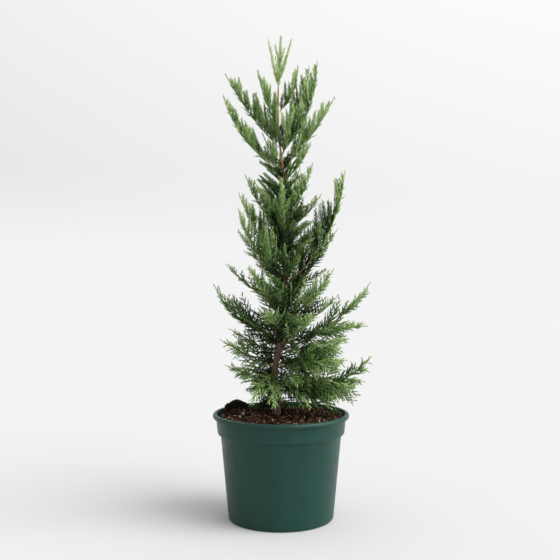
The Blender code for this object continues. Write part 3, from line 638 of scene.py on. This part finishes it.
def make_fibres(chance):
    """Pale root fibres and straws lying on the compost, each a thin bent strand."""
    points, faces = [], []
    edge = inner_radius(SOIL_EDGE) - FIBRES_FROM_WALL
    for index in range(FIBRES):
        radius, turn = edge * math.sqrt(chance.random()), chance.uniform(0, 2 * math.pi)
        heading, bend = chance.uniform(0, 2 * math.pi), chance.uniform(-1.6, 1.6)
        length, thick = chance.uniform(0.006, 0.020), chance.uniform(0.00035, 0.0007)
        spot = np.array((radius * math.cos(turn), radius * math.sin(turn)))
        for k in range(FIBRE_JOINTS):
            share = k / (FIBRE_JOINTS - 1)
            way = heading + bend * share
            spot = spot + length / (FIBRE_JOINTS - 1) * np.array((math.cos(way), math.sin(way)))
            lift = 0.0012 + 0.002 * math.sin(math.pi * share)
            middle = np.array((*spot, soil_height(*spot) + lift))
            side = np.array((-math.sin(way), math.cos(way), 0))
            size = thick * (1 - 0.8 * abs(2 * share - 1))
            for corner in (90, 210, 330):
                turn = math.radians(corner)
                points.append(middle + size * (side * math.cos(turn) + np.array((0, 0, math.sin(turn)))))
        base, end = 3 * FIBRE_JOINTS * index, 3 * FIBRE_JOINTS * (index + 1) - 3
        for ring in range(base, end, 3):
            for a in range(3):
                low, after = ring + a, ring + (a + 1) % 3
                faces += [(low, low + 3, after), (after, low + 3, after + 3)]
        faces += [(base, base + 1, base + 2), (end, end + 2, end + 1)]
    surface = earth("root_fibre", (0.16, 0.095, 0.05), (0.42, 0.29, 0.17), 500)
    dress(mesh_piece("root_fibres", points, faces), "root_fibres", surface, [])


def make_clod():
    """The near-black clod of old compost at the back left: a flattened ball, lumpy all over."""
    deselect()
    bpy.ops.mesh.primitive_ico_sphere_add(subdivisions=5, radius=1, location=CLOD_MIDDLE, scale=CLOD_SIZE)
    clod = bpy.context.active_object
    seat(clod)
    roughen(clod, "clod_lumps", 0.014, 0.008)
    roughen(clod, "clod_crumbs", 0.0035, 0.0030)
    smooth(clod, 50)
    surface = earth("black_clod", (0.0010, 0.0009, 0.0006), (0.014, 0.010, 0.006), 260)
    dress(clod, "old_clod", surface, [])


def make_soil():
    chance = np.random.default_rng(SEED)
    make_compost()
    make_clod()
    # The crumbs' near-black is partly the compost's own colour and partly painted shade between the lumps.
    crumb = earth("dark_crumb", (0.0015, 0.0010, 0.0006), (0.066, 0.036, 0.019), 130)
    chip = earth("bark_chip", (0.015, 0.008, 0.004), (0.24, 0.140, 0.072), 150)
    straw = earth("pale_chip", (0.16, 0.100, 0.056), (0.50, 0.36, 0.22), 380)
    scatter(chance, CRUMBS, (0.0016, 0.0078), "compost_crumbs", crumb, 0.30)
    scatter(chance, BARK_CHIPS, (0.0025, 0.0080), "bark_chips", chip, 0.30)
    scatter(chance, PALE_CHIPS, (0.0014, 0.0046), "pale_chips", straw, 0.40)
    scatter(chance, GRIT_GRAINS, (0.0020, 0.0050), "white_grit_grains", grit_surface(), 0.55)
    make_fibres(chance)


# The trunk and the boughs' lines


def trunk_lean(rows, index):
    """How far the trunk sways for its rise at one row, from the rows before and after it."""
    before, after = rows[max(index - 1, 0)], rows[min(index + 1, len(rows) - 1)]
    return (after[1:3] - before[1:3]) / (after[0] - before[0])


def trunk_at(height):
    """The trunk's centre and radius at a height, on smooth curves through its rows."""
    rows = np.array(TRUNK)
    height = min(max(height, rows[0, 0]), rows[-1, 0])
    place = int(np.clip(np.searchsorted(rows[:, 0], height) - 1, 0, len(rows) - 2))
    foot, top = rows[place], rows[place + 1]
    rise = top[0] - foot[0]
    share = (height - foot[0]) / rise
    ease = share**2 * (3 - 2 * share)
    lead = share * (1 - share) ** 2 * rise * trunk_lean(rows, place)
    lag = share**2 * (share - 1) * rise * trunk_lean(rows, place + 1)
    sway = foot[1:3] * (1 - ease) + top[1:3] * ease + lead + lag
    radius = foot[3] * (1 - share) + top[3] * share
    return Vector((*sway, height)), float(radius)


def bough_point(bough, share):
    """A point on a bough's line, from its root on the trunk's centre to its tip."""
    root, _ = trunk_at(bough.root)
    outwards = level_way(math.radians(bough.azimuth))
    chord = outwards * bough.reach + UP * bough.rise
    below = (outwards * bough.rise - UP * bough.reach).normalized()
    sag = bough.curl * chord.length * 4 * share * (1 - share)
    return root + chord * share + below * sag


def bough_frame(bough, share):
    """The bough's direction, its sideways direction and the one over it, at a share of its length."""
    step = 0.01
    along = (bough_point(bough, share + step) - bough_point(bough, share - step)).normalized()
    side = along.cross(UP).normalized()
    return along, side, side.cross(along).normalized()


def bough_length(bough):
    return math.hypot(bough.reach, bough.rise)


def limb_radius(bough, share):
    _, trunk_radius = trunk_at(bough.root)
    foot = min(LIMB_BASE_RADIUS + LIMB_RADIUS_SHARE * bough_length(bough), LIMB_TO_TRUNK * trunk_radius)
    return foot * (1 - share) + LIMB_TIP_RADIUS * share


def drawn_limb(middles, radii, sides):
    """A closed limb: a disc across its first stretch, drawn out ring by ring along its middles."""
    deselect()
    heading = (Vector(middles[-1]) - Vector(middles[0])).to_track_quat("Z", "Y").to_euler()
    bpy.ops.mesh.primitive_circle_add(
        vertices=sides, radius=radii[0], fill_type="NGON", location=middles[0], rotation=heading
    )
    limb = bpy.context.active_object
    bpy.ops.object.mode_set(mode="EDIT")
    bpy.ops.mesh.select_all(action="SELECT")
    for before, after, old_radius, new_radius in zip(middles, middles[1:], radii, radii[1:]):
        step = Vector(after) - Vector(before)
        bpy.ops.mesh.extrude_region_move(TRANSFORM_OT_translate={"value": step})
        bpy.ops.transform.resize(value=(new_radius / old_radius,) * 3, center_override=after)
    bpy.ops.mesh.select_all(action="SELECT")
    bpy.ops.mesh.normals_make_consistent(inside=False)
    bpy.ops.object.mode_set(mode="OBJECT")
    seat(limb)
    return limb


def joined(pieces):
    """Several finished pieces as one."""
    deselect()
    for piece in pieces:
        piece.select_set(True)
    bpy.context.view_layer.objects.active = pieces[0]
    bpy.ops.object.join()
    return pieces[0]


def roughen(piece, name, size, height):
    """Raises strands, knots or crumbs on a piece, as clouds of one size pushed out of its surface."""
    clouds = bpy.data.textures.new(name, "CLOUDS")
    clouds.noise_scale = size
    clouds.noise_depth = 3
    relief = piece.modifiers.new(name, "DISPLACE")
    relief.texture = clouds
    relief.texture_coords = "LOCAL"
    relief.strength = height
    only(piece)
    bpy.ops.object.modifier_apply(modifier=relief.name)


def refine(piece):
    """Splits each face of a limb in four, rounded."""
    finer = piece.modifiers.new("finer", "SUBSURF")
    finer.levels = finer.render_levels = 1
    only(piece)
    bpy.ops.object.modifier_apply(modifier=finer.name)


def raise_bark(limb, *reliefs):
    """Rounds a limb and raises its bark, from the name, the grain and the height of each relief."""
    refine(limb)
    for relief in reliefs:
        roughen(limb, *relief)
    smooth(limb)


def make_trunk(surface):
    """The trunk, drawn up from the compost to its tip, with old leaf bases and strands in relief."""
    heights = np.linspace(TRUNK[0][0] + 0.0004, TRUNK[-1][0] + 0.004, TRUNK_RINGS)
    spots = [trunk_at(height) for height in heights]
    middles = [(centre.x, centre.y, height) for (centre, _), height in zip(spots, heights)]
    trunk = drawn_limb(middles, [radius for _, radius in spots], TRUNK_SIDES)
    raise_bark(trunk, ("leaf_bases", 0.011, 0.0016), ("bark_strands", 0.0028, 0.0009))
    dress(trunk, "trunk_bark", surface, ["trunk"])


def drawn_boughs(stretches, rings, sides):
    """Stretches of boughs, each a bough with its first and last share, drawn as limbs and joined."""
    limbs = []
    for bough, start, end in stretches:
        shares = np.linspace(start, end, rings)
        middles = [bough_point(bough, share) for share in shares]
        limbs.append(drawn_limb(middles, [limb_radius(bough, share) for share in shares], sides))
    return joined(limbs)


def make_boughs(surface):
    """The bare foot of each main bough, as far as its mass."""
    feet = [(bough, 0.01, bough.bare + BARK_INTO_LEAVES) for bough in BOUGHS if bough.bare]
    boughs = drawn_boughs(feet, 24, BOUGH_SIDES)
    raise_bark(boughs, ("bough_strands", 0.0030, 0.0005))
    dress(boughs, "bough_bark", surface, LIMBS)


def make_twigs():
    """The woody part of each bough's own line inside the foliage."""
    lines = [(bough, bough.bare or 0.01, WOODY_SHARE) for bough in BOUGHS]
    twigs = drawn_boughs(lines, 9, TWIG_SIDES)
    raise_bark(twigs, ("twig_strands", 0.0030, 0.0003))
    surface = earth("green_brown_twig", (0.085, 0.062, 0.024), (0.23, 0.15, 0.060), 160)
    dress(twigs, "twigs", surface, MASSES)


# The foliage

# How one order of shoots grows on the one before: spacing, bare foot, angles in degrees, share, least and
# most length, scatter out of the flat, and curve forwards. The first row is for the low crown, the second
# for the high crown, and between two heights one passes into the other.
Habit = namedtuple("Habit", "every skip angle_foot angle_tip share least most tilt forward")
BRANCHLETS = (
    Habit(0.0062, 0.05, 40, 25, 0.40, 0.0060, 0.038, 0.05, 0.14),
    Habit(0.0034, 0.05, 44, 32, 0.27, 0.0040, 0.022, 0.08, 0.14),
)
TWIGLETS = (
    Habit(0.0017, 0.02, 36, 26, 0.15, 0.0024, 0.0040, 0.06, 0.08),
    Habit(0.0020, 0.08, 44, 34, 0.26, 0.0023, 0.0065, 0.10, 0.08),
)
PLUME_TIPS = (
    Habit(0.0050, 0.00, 40, 28, 0.14, 0.0050, 0.018, 0.26, 0.14),
    Habit(0.0042, 0.00, 40, 30, 0.105, 0.0040, 0.014, 0.30, 0.14),
)
HABIT_CHANGES = (0.36, 0.56)
LAST_TWIG = 0.97
TWIG_SHUFFLE, TWIG_ANGLE_SPREAD = 0.3, 3
TWIG_LENGTHS = (0.72, 1.18)
FOOT_TWIG, FOOT_TWIG_RISE = 0.62, 2.4

# Cords: rings along each shoot, how far on the last one stands beside even spacing, width at the shoot's
# foot and near its tip, thickness as a share of the width, and how much of it lies above the middle
Cord = namedtuple("Cord", "rings reach foot tip flat")
STEM_CORD = Cord(6, 1.0, 0.0024, 0.0017, 0.9)
BRANCHLET_CORD = Cord(2, 1.3, 0.0019, 0.0016, 0.8)
TWIGLET_WIDTH, TWIGLET_FLAT, TWIGLET_WIDEST_AT = 0.0019, 0.6, 0.36
THICK_ABOVE = 0.667

# Sets of shoots: root, direction, normal of the spray's flat, length, bend, how open it is, and its green
Shoots = namedtuple("Shoots", "root way over length bend open green")


def unit(vectors):
    return vectors / np.linalg.norm(vectors, axis=-1, keepdims=True)


def stack(parts):
    """Many sets of shoots as one."""
    return Shoots(*(np.concatenate([getattr(part, field) for part in parts]) for field in Shoots._fields))


def point_on(shoots, share):
    """The places at a share of each shoot's length, and the directions there."""
    share = share[:, None]
    reach = shoots.way * shoots.length[:, None]
    return shoots.root + reach * share + shoots.bend * share**2, unit(reach + 2 * shoots.bend * share)


def habit_at(habits, shoots):
    """Each shoot's habit by its height, between the low crown's and the high crown's."""
    share = np.interp(shoots.root[:, 2], HABIT_CHANGES, (0, 1))
    return Habit(*(low + (high - low) * share for low, high in zip(*habits)))


def grow(shoots, habits, chance, fresher):
    """The next order of shoots: alternate, leaning forwards, and shorter and fresher towards the tip."""
    habit = habit_at(habits, shoots)
    leafy = shoots.length * (1 - habit.skip)
    count = np.maximum(2, (leafy / (habit.every * shoots.open**0.5)).astype(int))
    parent = np.repeat(np.arange(len(count)), count)
    step = np.arange(count.sum()) - np.repeat(np.cumsum(count) - count, count)
    total = len(parent)
    habit = Habit(*(field[parent] for field in habit))
    place = (step + 0.5 + chance.uniform(-1, 1, total) * TWIG_SHUFFLE) / count[parent]
    share = habit.skip + (LAST_TWIG - habit.skip) * place
    parents = Shoots(*(field[parent] for field in shoots))
    root, along = point_on(parents, share)
    hand = np.where((step + parent) % 2, 1.0, -1.0)[:, None]
    across = unit(np.cross(parents.over, along))
    turn = habit.angle_foot + (habit.angle_tip - habit.angle_foot) * share
    turn = turn + chance.normal(0, TWIG_ANGLE_SPREAD, total)
    turn = np.radians(turn * parents.open)
    tilt = (chance.normal(0, 1, total) * habit.tilt)[:, None]
    way = along * np.cos(turn)[:, None] + hand * across * np.sin(turn)[:, None]
    way = unit(way + parents.over * tilt)
    length = habit.share * parents.length * (1 - share)
    length = length * np.minimum(1, FOOT_TWIG + FOOT_TWIG_RISE * share)
    length = np.minimum(length * chance.uniform(*TWIG_LENGTHS, total) + habit.least, habit.most)
    bend = along * (habit.forward * length)[:, None]
    over = unit(parents.over - way * np.sum(parents.over * way, axis=1, keepdims=True))
    green = parents.green + fresher * (share - MIDDLE_OF_SHOOT)
    green = np.clip(green + chance.normal(0, GREEN_SPREAD, total), 0, len(GREENS) - 1)
    return Shoots(root, way, over, length, bend, parents.open, green)


def cords(shoots, cord):
    """Closed three-sided cords along the shoots, blunt at the foot and pointed at the tip."""
    count, rings = len(shoots.length), cord.rings
    corners = []
    for ring in range(rings):
        share = np.full(count, ring / rings * cord.reach)
        middle, along = point_on(shoots, share)
        side = unit(np.cross(shoots.over, along))
        width = cord.foot + (cord.tip - cord.foot) * ring / (rings - 1)
        low = middle - shoots.over * width * cord.flat / 3
        high = middle + shoots.over * width * cord.flat * THICK_ABOVE
        corners += [low + side * width / 2, high, low - side * width / 2]
    corners.append(point_on(shoots, np.ones(count))[0])
    pattern = [(0, 1, 2)]
    for ring in range(rings - 1):
        for a in range(3):
            low, after = 3 * ring + a, 3 * ring + (a + 1) % 3
            pattern += [(low, low + 3, after), (after, low + 3, after + 3)]
    top = 3 * (rings - 1)
    pattern += [(top, 3 * rings, top + 1), (top + 1, 3 * rings, top + 2), (top + 2, 3 * rings, top)]
    points = np.stack(corners, axis=1)
    faces = np.array(pattern)[None] + len(corners) * np.arange(count)[:, None, None]
    return points.reshape(-1, 3), faces.reshape(-1, 3), np.repeat(kinds(shoots), len(pattern))


def kinds(shoots):
    """One number for each shoot's green and tier together."""
    return np.rint(shoots.green).astype(int) * (len(TIERS) + 1) + np.digitize(shoots.root[:, 2], TIERS)


def leafy_tips(shoots):
    """The finest twigs: closed slim forms of six faces, pointed at both ends and widest near the foot."""
    middle, along = point_on(shoots, np.full(len(shoots.length), TWIGLET_WIDEST_AT))
    side = unit(np.cross(shoots.over, along)) * TWIGLET_WIDTH / 2
    thick = shoots.over * TWIGLET_WIDTH * TWIGLET_FLAT
    low, high = middle - thick / 3, middle + thick * THICK_ABOVE
    tip, _ = point_on(shoots, np.ones(len(shoots.length)))
    points = np.stack([shoots.root, low + side, high, low - side, tip], axis=1)
    pattern = np.array([(0, 1, 2), (0, 2, 3), (0, 3, 1), (4, 2, 1), (4, 3, 2), (4, 1, 3)])
    faces = pattern[None] + 5 * np.arange(len(points))[:, None, None]
    return points.reshape(-1, 3), faces.reshape(-1, 3), np.repeat(kinds(shoots), len(pattern))


def spray_length(bough, share):
    """Long in the inner half of a bough, and shorter and shorter towards its tip."""
    most = float(np.interp(bough.root, (LOW_BOUGH, HIGH_BOUGH), (SPRAY_MOST_LOW, SPRAY_MOST_HIGH)))
    longest = min(max(SPRAY_SHARE * bough_length(bough), SPRAY_LEAST), most) * bough.full
    swell = FOOT_SPRAY + (1 - FOOT_SPRAY) * math.sin(math.pi * min(1, 2 * share))
    past_whip = (1 - share) * bough_length(bough) - WHIP_LENGTH
    return min(longest * swell, bough.full * SPRAY_TAPER * past_whip + LEAST_SPRAY)


def spray_places(bough, chance):
    """Where each spray starts, how far round the bough it points, its tilt, its stand and its length."""
    leafy = bough.bare * LEAFY_SHARE_OF_BARE if bough.bare else LEAFY_FROM
    high = min(1.0, max(0.0, (bough.root - LOW_BOUGH) / (HIGH_BOUGH - LOW_BOUGH)))
    spacing = SPRAY_EVERY_LOW + (SPRAY_EVERY_HIGH - SPRAY_EVERY_LOW) * high
    middle_roll = SPRAY_ROLL_LOW + (SPRAY_ROLL_HIGH - SPRAY_ROLL_LOW) * high
    spread = SPRAY_SPREAD_LOW + (SPRAY_SPREAD_HIGH - SPRAY_SPREAD_LOW) * high
    count = max(FEWEST_SPRAYS, round(bough_length(bough) * (1 - leafy) / spacing))
    for k in range(count):
        share = (k + 0.3) / count
        roll = (middle_roll + chance.uniform(-1, 1) * spread) * (1 if k % 2 else -1)
        if bough.root < HANGING_BELOW and k % 3:
            roll += math.copysign(chance.uniform(*HANGING_ROLL), roll)
        tilt = chance.uniform(-1, 1) * SPRAY_TILT_SPREAD
        stand = chance.uniform(0, SPRAY_STAND_LOW + (SPRAY_STAND_HIGH - SPRAY_STAND_LOW) * high)
        length = spray_length(bough, share) * chance.uniform(*SPRAY_LENGTHS)
        yield leafy + (1 - leafy) * share, roll, tilt, stand, length


def spray_frame(bough, share, roll, tilt, stand):
    """The direction of a spray and the one across its flat, which stands more or less on edge."""
    along, side, over = bough_frame(bough, share)
    lateral = over * math.cos(math.radians(roll)) + side * math.sin(math.radians(roll))
    turn = math.radians(SPRAY_ANGLE_FOOT + (SPRAY_ANGLE_TIP - SPRAY_ANGLE_FOOT) * share)
    turn *= TOP_ANGLE if bough.root > TOP_BOUGHS_FROM else 1
    direction = (along * math.cos(turn) + lateral * math.sin(turn)).normalized()
    across = (along * math.sin(turn) - lateral * math.cos(turn)).normalized()
    upright = (UP - direction * direction.z).normalized()
    upright = upright if upright.dot(across) > 0 else -upright
    across = (across * (1 - stand) + upright * stand).normalized()
    return direction, tilted(direction, across, tilt).normalized()


def one_shoot(root, direction, across, length, bend, green):
    """A set of one shoot, more open low down than high up."""
    over = np.cross(direction, across)
    wide = float(np.interp(root[2], (LOW_BOUGH + 0.1, HIGH_BOUGH), (SPRAY_OPEN_LOW, SPRAY_OPEN_HIGH)))
    values = (root, direction, over, length, bend, wide, green)
    return Shoots(*(np.array([value], dtype=float) for value in values))


def keeps_to_reach(shoot, bough):
    """True where a spray ends short of its bough's tip and clear of the compost and the rim."""
    half = SPRAY_HALF_WIDTH * shoot.length[0]
    tip, _ = point_on(shoot, np.ones(1))
    middle, along = point_on(shoot, np.full(1, SPRAY_WIDEST_AT))
    across = np.cross(shoot.over, along)
    spots = np.vstack([tip, middle + across * half, middle - across * half])
    root, _ = trunk_at(bough.root)
    if (np.hypot(spots[:, 0] - root.x, spots[:, 1] - root.y) > bough.reach + OUT_PAST_TIP).any():
        return False
    if (spots[:, 2] > bough.root + max(bough.rise, 0) + UP_PAST_TIP).any():
        return False
    from_axis = np.hypot(spots[:, 0], spots[:, 1])
    over_soil = SOIL_EDGE + SOIL_MOUND + ROOM_TO_SOIL
    floor = np.where(from_axis > RIM_RADIUS - RIM_WIDTH, POT_HEIGHT + ROOM_TO_RIM, over_soil)
    return bool((spots[:, 2] > floor).all())


def fitted_spray(bough, share, roll, tilt, stand, length, green):
    """The largest size and turn of a spray that keeps to its bough's reach, or None."""
    for shrink in SPRAY_SHRINKS:
        if length * shrink < LEAST_SPRAY:
            return None
        for turn in SPRAY_TURNS:
            direction, across = spray_frame(bough, share, roll + turn, tilt, stand)
            hanging = bough.root < HANGING_BELOW and direction.z < HANGING_SLOPE
            bend = UP * ((HANGING_CURVE if hanging else SPRAY_CURVE) * length * shrink)
            shoot = one_shoot(bough_point(bough, share), direction, across, length * shrink, bend, green)
            if keeps_to_reach(shoot, bough):
                return shoot
    return None


def bough_sprays(bough, chance):
    """One bough's sprays and greens: darker inside as older growth and painted shade, fresher high up and
    at the tip, lighter in front as painted light.
    """
    front = math.sin(math.radians(bough.azimuth)) < FRONT_BELOW
    high = bough.root > TOP_BOUGHS_FROM
    # Front boughs are lighter as painted light on the side that the key light falls on.
    own = (OWN_GREEN_HIGH if high else OWN_GREEN_LOW) + (FRONT_PAINTED_LIGHT if front else 0)
    own += chance.uniform(-1, 1) * BOUGH_GREEN_SPREAD
    # The greens lighten from the trunk outwards: fresher growth at the tips, and painted shade inside the
    # crown.
    fresher = FRESHER_AND_LESS_SHADED_ALONG_HIGH if high else FRESHER_AND_LESS_SHADED_ALONG_LOW
    for share, roll, tilt, stand, length in spray_places(bough, chance):
        green = own + fresher * (share - MIDDLE_OF_BOUGH)
        green += chance.uniform(-1, 1) * SPRAY_GREEN_SPREAD
        green = min(max(green, 0), FRESHEST_SPRAY)
        spray = fitted_spray(bough, share, roll, tilt, stand, length, green)
        if spray:
            yield spray


def plume_tip(bough):
    """The green part of a bough's own line, as one more long spray."""
    start = bough.bare + PLUME_PAST_BARE if bough.bare else PLUME_FROM
    shares = (start, 1.0, (1 + start) / 2)
    root, tip, middle = (np.array(bough_point(bough, share)) for share in shares)
    bend = 2 * (tip + root) - 4 * middle
    reach = tip - root - bend
    _, side, _ = bough_frame(bough, 0.8)
    length = float(np.linalg.norm(reach))
    return one_shoot(root, reach / length, np.array(side), length, bend, 2)


def tilted(direction, across, degrees):
    """The way across a spray, turned about the spray's own direction."""
    turn = math.radians(degrees)
    return across * math.cos(turn) + direction.cross(across) * math.sin(turn)


def trunk_sprays(chance):
    """Short inner sprays all round the trunk, which close the middle of the crown, kept dark as older
    inner foliage and as painted shade.
    """
    turn = 0.0
    for height in np.arange(*TRUNK_SPRAYS):
        turn += GOLDEN_TURN
        lean = math.radians(chance.uniform(*TRUNK_SPRAY_LEAN))
        longest = float(np.interp(height, TRUNK_SPRAY_HEIGHTS, TRUNK_SPRAY_LENGTHS))
        length = longest * chance.uniform(*TRUNK_SPRAY_VARIES)
        outwards = level_way(turn)
        direction = outwards * math.sin(lean) + UP * math.cos(lean)
        across = tilted(direction, UP.cross(outwards), chance.uniform(*TRUNK_SPRAY_TILT))
        root, _ = trunk_at(height)
        bend = (outwards * TRUNK_SPRAY_OUT - UP * TRUNK_SPRAY_DOWN) * length
        # Dark greens only: partly older inner foliage, partly painted shade.
        green = round(chance.uniform(0, TRUNK_SPRAY_LIGHTEST))
        yield one_shoot(root, direction, across, length, bend, green)


def back_sprays(chance):
    """Sprays in the two darkest greens as painted shade, which hang behind the trunk's foot, almost to the
    compost.
    """
    for height in np.arange(*BACK_SPRAYS):
        outwards = level_way(math.radians(chance.uniform(*BACK_SPRAY_TURN)))
        highest = BACK_SPRAY_RISE + BACK_SPRAY_STEEPER * (height - BACK_SPRAY_RISE_AT)
        direction = (outwards + UP * chance.uniform(BACK_SPRAY_DROP, highest)).normalized()
        across = tilted(direction, UP.cross(outwards), chance.uniform(*BACK_SPRAY_TILT))
        length = chance.uniform(*BACK_SPRAY_LENGTH)
        root, _ = trunk_at(height)
        lowest = (SOIL_EDGE + SOIL_MOUND + ROOM_TO_SOIL - height) / length
        sag = BACK_SPRAY_SAG * length if direction.z - BACK_SPRAY_SAG > lowest else 0
        if direction.z > lowest:
            # Only the darkest greens: painted shade behind the trunk's foot.
            green = round(chance.uniform(0, BACK_SPRAY_LIGHTEST_IN_SHADE))
            yield one_shoot(root, direction, across, length, -UP * sag, green)


def leader_point(share):
    foot, _ = trunk_at(TRUNK[-1][0])
    return foot + Vector((LEADER_SWAY * share, 0, (TOP_HEIGHT - foot.z) * share))


def leader_sprays():
    """The leading shoot's few slim upright sprays."""
    for share, azimuth, lean, length in LEADER_SHOOTS:
        tip = math.radians(lean)
        lateral = level_way(math.radians(azimuth))
        direction = UP * math.cos(tip) + lateral * math.sin(tip)
        across = UP * math.sin(tip) - lateral * math.cos(tip)
        bend = UP * LEADER_CURVE * length
        yield one_shoot(leader_point(share), direction, across, length, bend, LEADER_GREEN)
    whole = leader_point(1) - leader_point(0)
    right, bend = Vector((1, 0, 0)), UP * 0
    yield one_shoot(leader_point(0), whole.normalized(), right, whole.length, bend, LEADER_GREEN)


def make_foliage():
    """Sprays, their branchlets and their twiglets, joined by green and by height."""
    chance = np.random.default_rng(SEED + 1)
    sprays = [spray for bough in BOUGHS for spray in bough_sprays(bough, chance)]
    sprays = stack([*sprays, *trunk_sprays(chance), *back_sprays(chance)])
    plumes = stack([plume_tip(bough) for bough in BOUGHS])
    whips = stack(list(leader_sprays()))
    branchlets = stack([
        grow(sprays, BRANCHLETS, chance, FRESHER_ALONG_SPRAY),
        grow(plumes, PLUME_TIPS, chance, FRESHER_ALONG_SPRAY),
        grow(whips, PLUME_TIPS, chance, LEADER_FRESHER),
    ])
    twiglets = grow(branchlets, TWIGLETS, chance, FRESHER_ALONG_BRANCHLET)
    stems = stack([sprays, plumes, whips])
    made = [cords(stems, STEM_CORD), cords(branchlets, BRANCHLET_CORD), leafy_tips(twiglets)]
    for index, (green, colour) in enumerate(GREENS.items()):
        surface = green_surface(green, colour)
        for tier, height in enumerate(("low", "middle", "high")):
            name = "leaves_" + green + "_" + height
            piece = mesh_piece(name, *faces_of_kind(made, index * (len(TIERS) + 1) + tier))
            dress(piece, name, surface, MASSES)


def faces_of_kind(made, wanted):
    """The faces of one green and tier from all the cords, with only the points that they use."""
    points, faces, start = [], [], 0
    for some_points, some_faces, marks in made:
        used, fresh = np.unique(some_faces[marks == wanted], return_inverse=True)
        points.append(some_points[used])
        faces.append(fresh.reshape(-1, 3) + start)
        start += len(used)
    return np.vstack(points), np.vstack(faces)


# The studio


def facing(room, ways, towards):
    """How far each way looks towards one side of the room, from minus one to one."""
    values = {1: Vector(towards).normalized()}
    return room.add("ShaderNodeVectorMath", values, {0: ways}, "Value", operation="DOT_PRODUCT")


def combined(room, operation, first, second):
    return room.add("ShaderNodeMath", {}, {0: first, 1: second}, "Value", operation=operation)


def light_the_room(world):
    """White light from all round, weak from the front left, stronger above, with a glow at the right."""
    world.use_nodes = True
    room = Recipe(world.node_tree, "Background")
    ways = room.add("ShaderNodeTexCoord", {}, {}, "Generated")
    broad = room.span(facing(room, ways, ROOM_TOWARDS), (-1, 1), ROOM_LIGHT)
    glow = room.span(facing(room, ways, GLOW_TOWARDS), GLOW_REACH, (0, GLOW_LIGHT), "SMOOTHSTEP")
    whole = combined(room, "ADD", broad, glow)
    height = facing(room, ways, UP)
    above = room.span(height, HORIZON_FADE, (0, 1), "SMOOTHSTEP")
    below = room.span(height, HORIZON_FADE, (HORIZON_LIGHT, 0), "SMOOTHSTEP")
    strength = combined(room, "ADD", combined(room, "MULTIPLY", whole, above), below)
    room.fill(room.last, {"Color": (1, 1, 1, 1)}, {"Strength": strength})


def make_studio():
    """A plain pale floor, soft light all round, and a broad soft light from the front right."""
    deselect()
    bpy.ops.mesh.primitive_circle_add(
        vertices=96, radius=FLOOR_RADIUS, fill_type="NGON", location=(0, 0, -FLOOR_DROP)
    )
    floor = bpy.context.active_object
    floor.name = "studio_floor"
    floor.data.materials.append(Finish("pale_floor", FLOOR_COLOUR, 1.0, 0).surface)
    bpy.context.scene.world = bpy.data.worlds.new("studio")
    light_the_room(bpy.context.scene.world)
    sun = bpy.data.lights.new("soft_key", "SUN")
    sun.energy = KEY_LIGHT
    sun.angle = math.radians(KEY_WIDTH)
    key = bpy.data.objects.new("soft_key", sun)
    key.rotation_euler = [math.radians(turn) for turn in KEY_TURN]
    bpy.context.scene.collection.objects.link(key)
    bpy.context.scene.view_settings.view_transform = "Standard"


def make_camera():
    camera = bpy.data.objects.new("camera", bpy.data.cameras.new("camera"))
    bpy.context.scene.collection.objects.link(camera)
    camera.location = (0, -CAMERA_DISTANCE, CAMERA_HEIGHT)
    camera.rotation_euler = (math.radians(90), 0, 0)
    camera.data.sensor_width = CAMERA_SENSOR
    camera.data.lens = CAMERA_LENS
    camera.data.shift_x = CAMERA_SHIFT_RIGHT
    camera.data.shift_y = CAMERA_SHIFT_UP
    bpy.context.scene.camera = camera


make_pot()
make_soil()
bark = bark_surface()
make_trunk(bark)
make_boughs(bark)
make_twigs()
make_foliage()
make_studio()
make_camera()
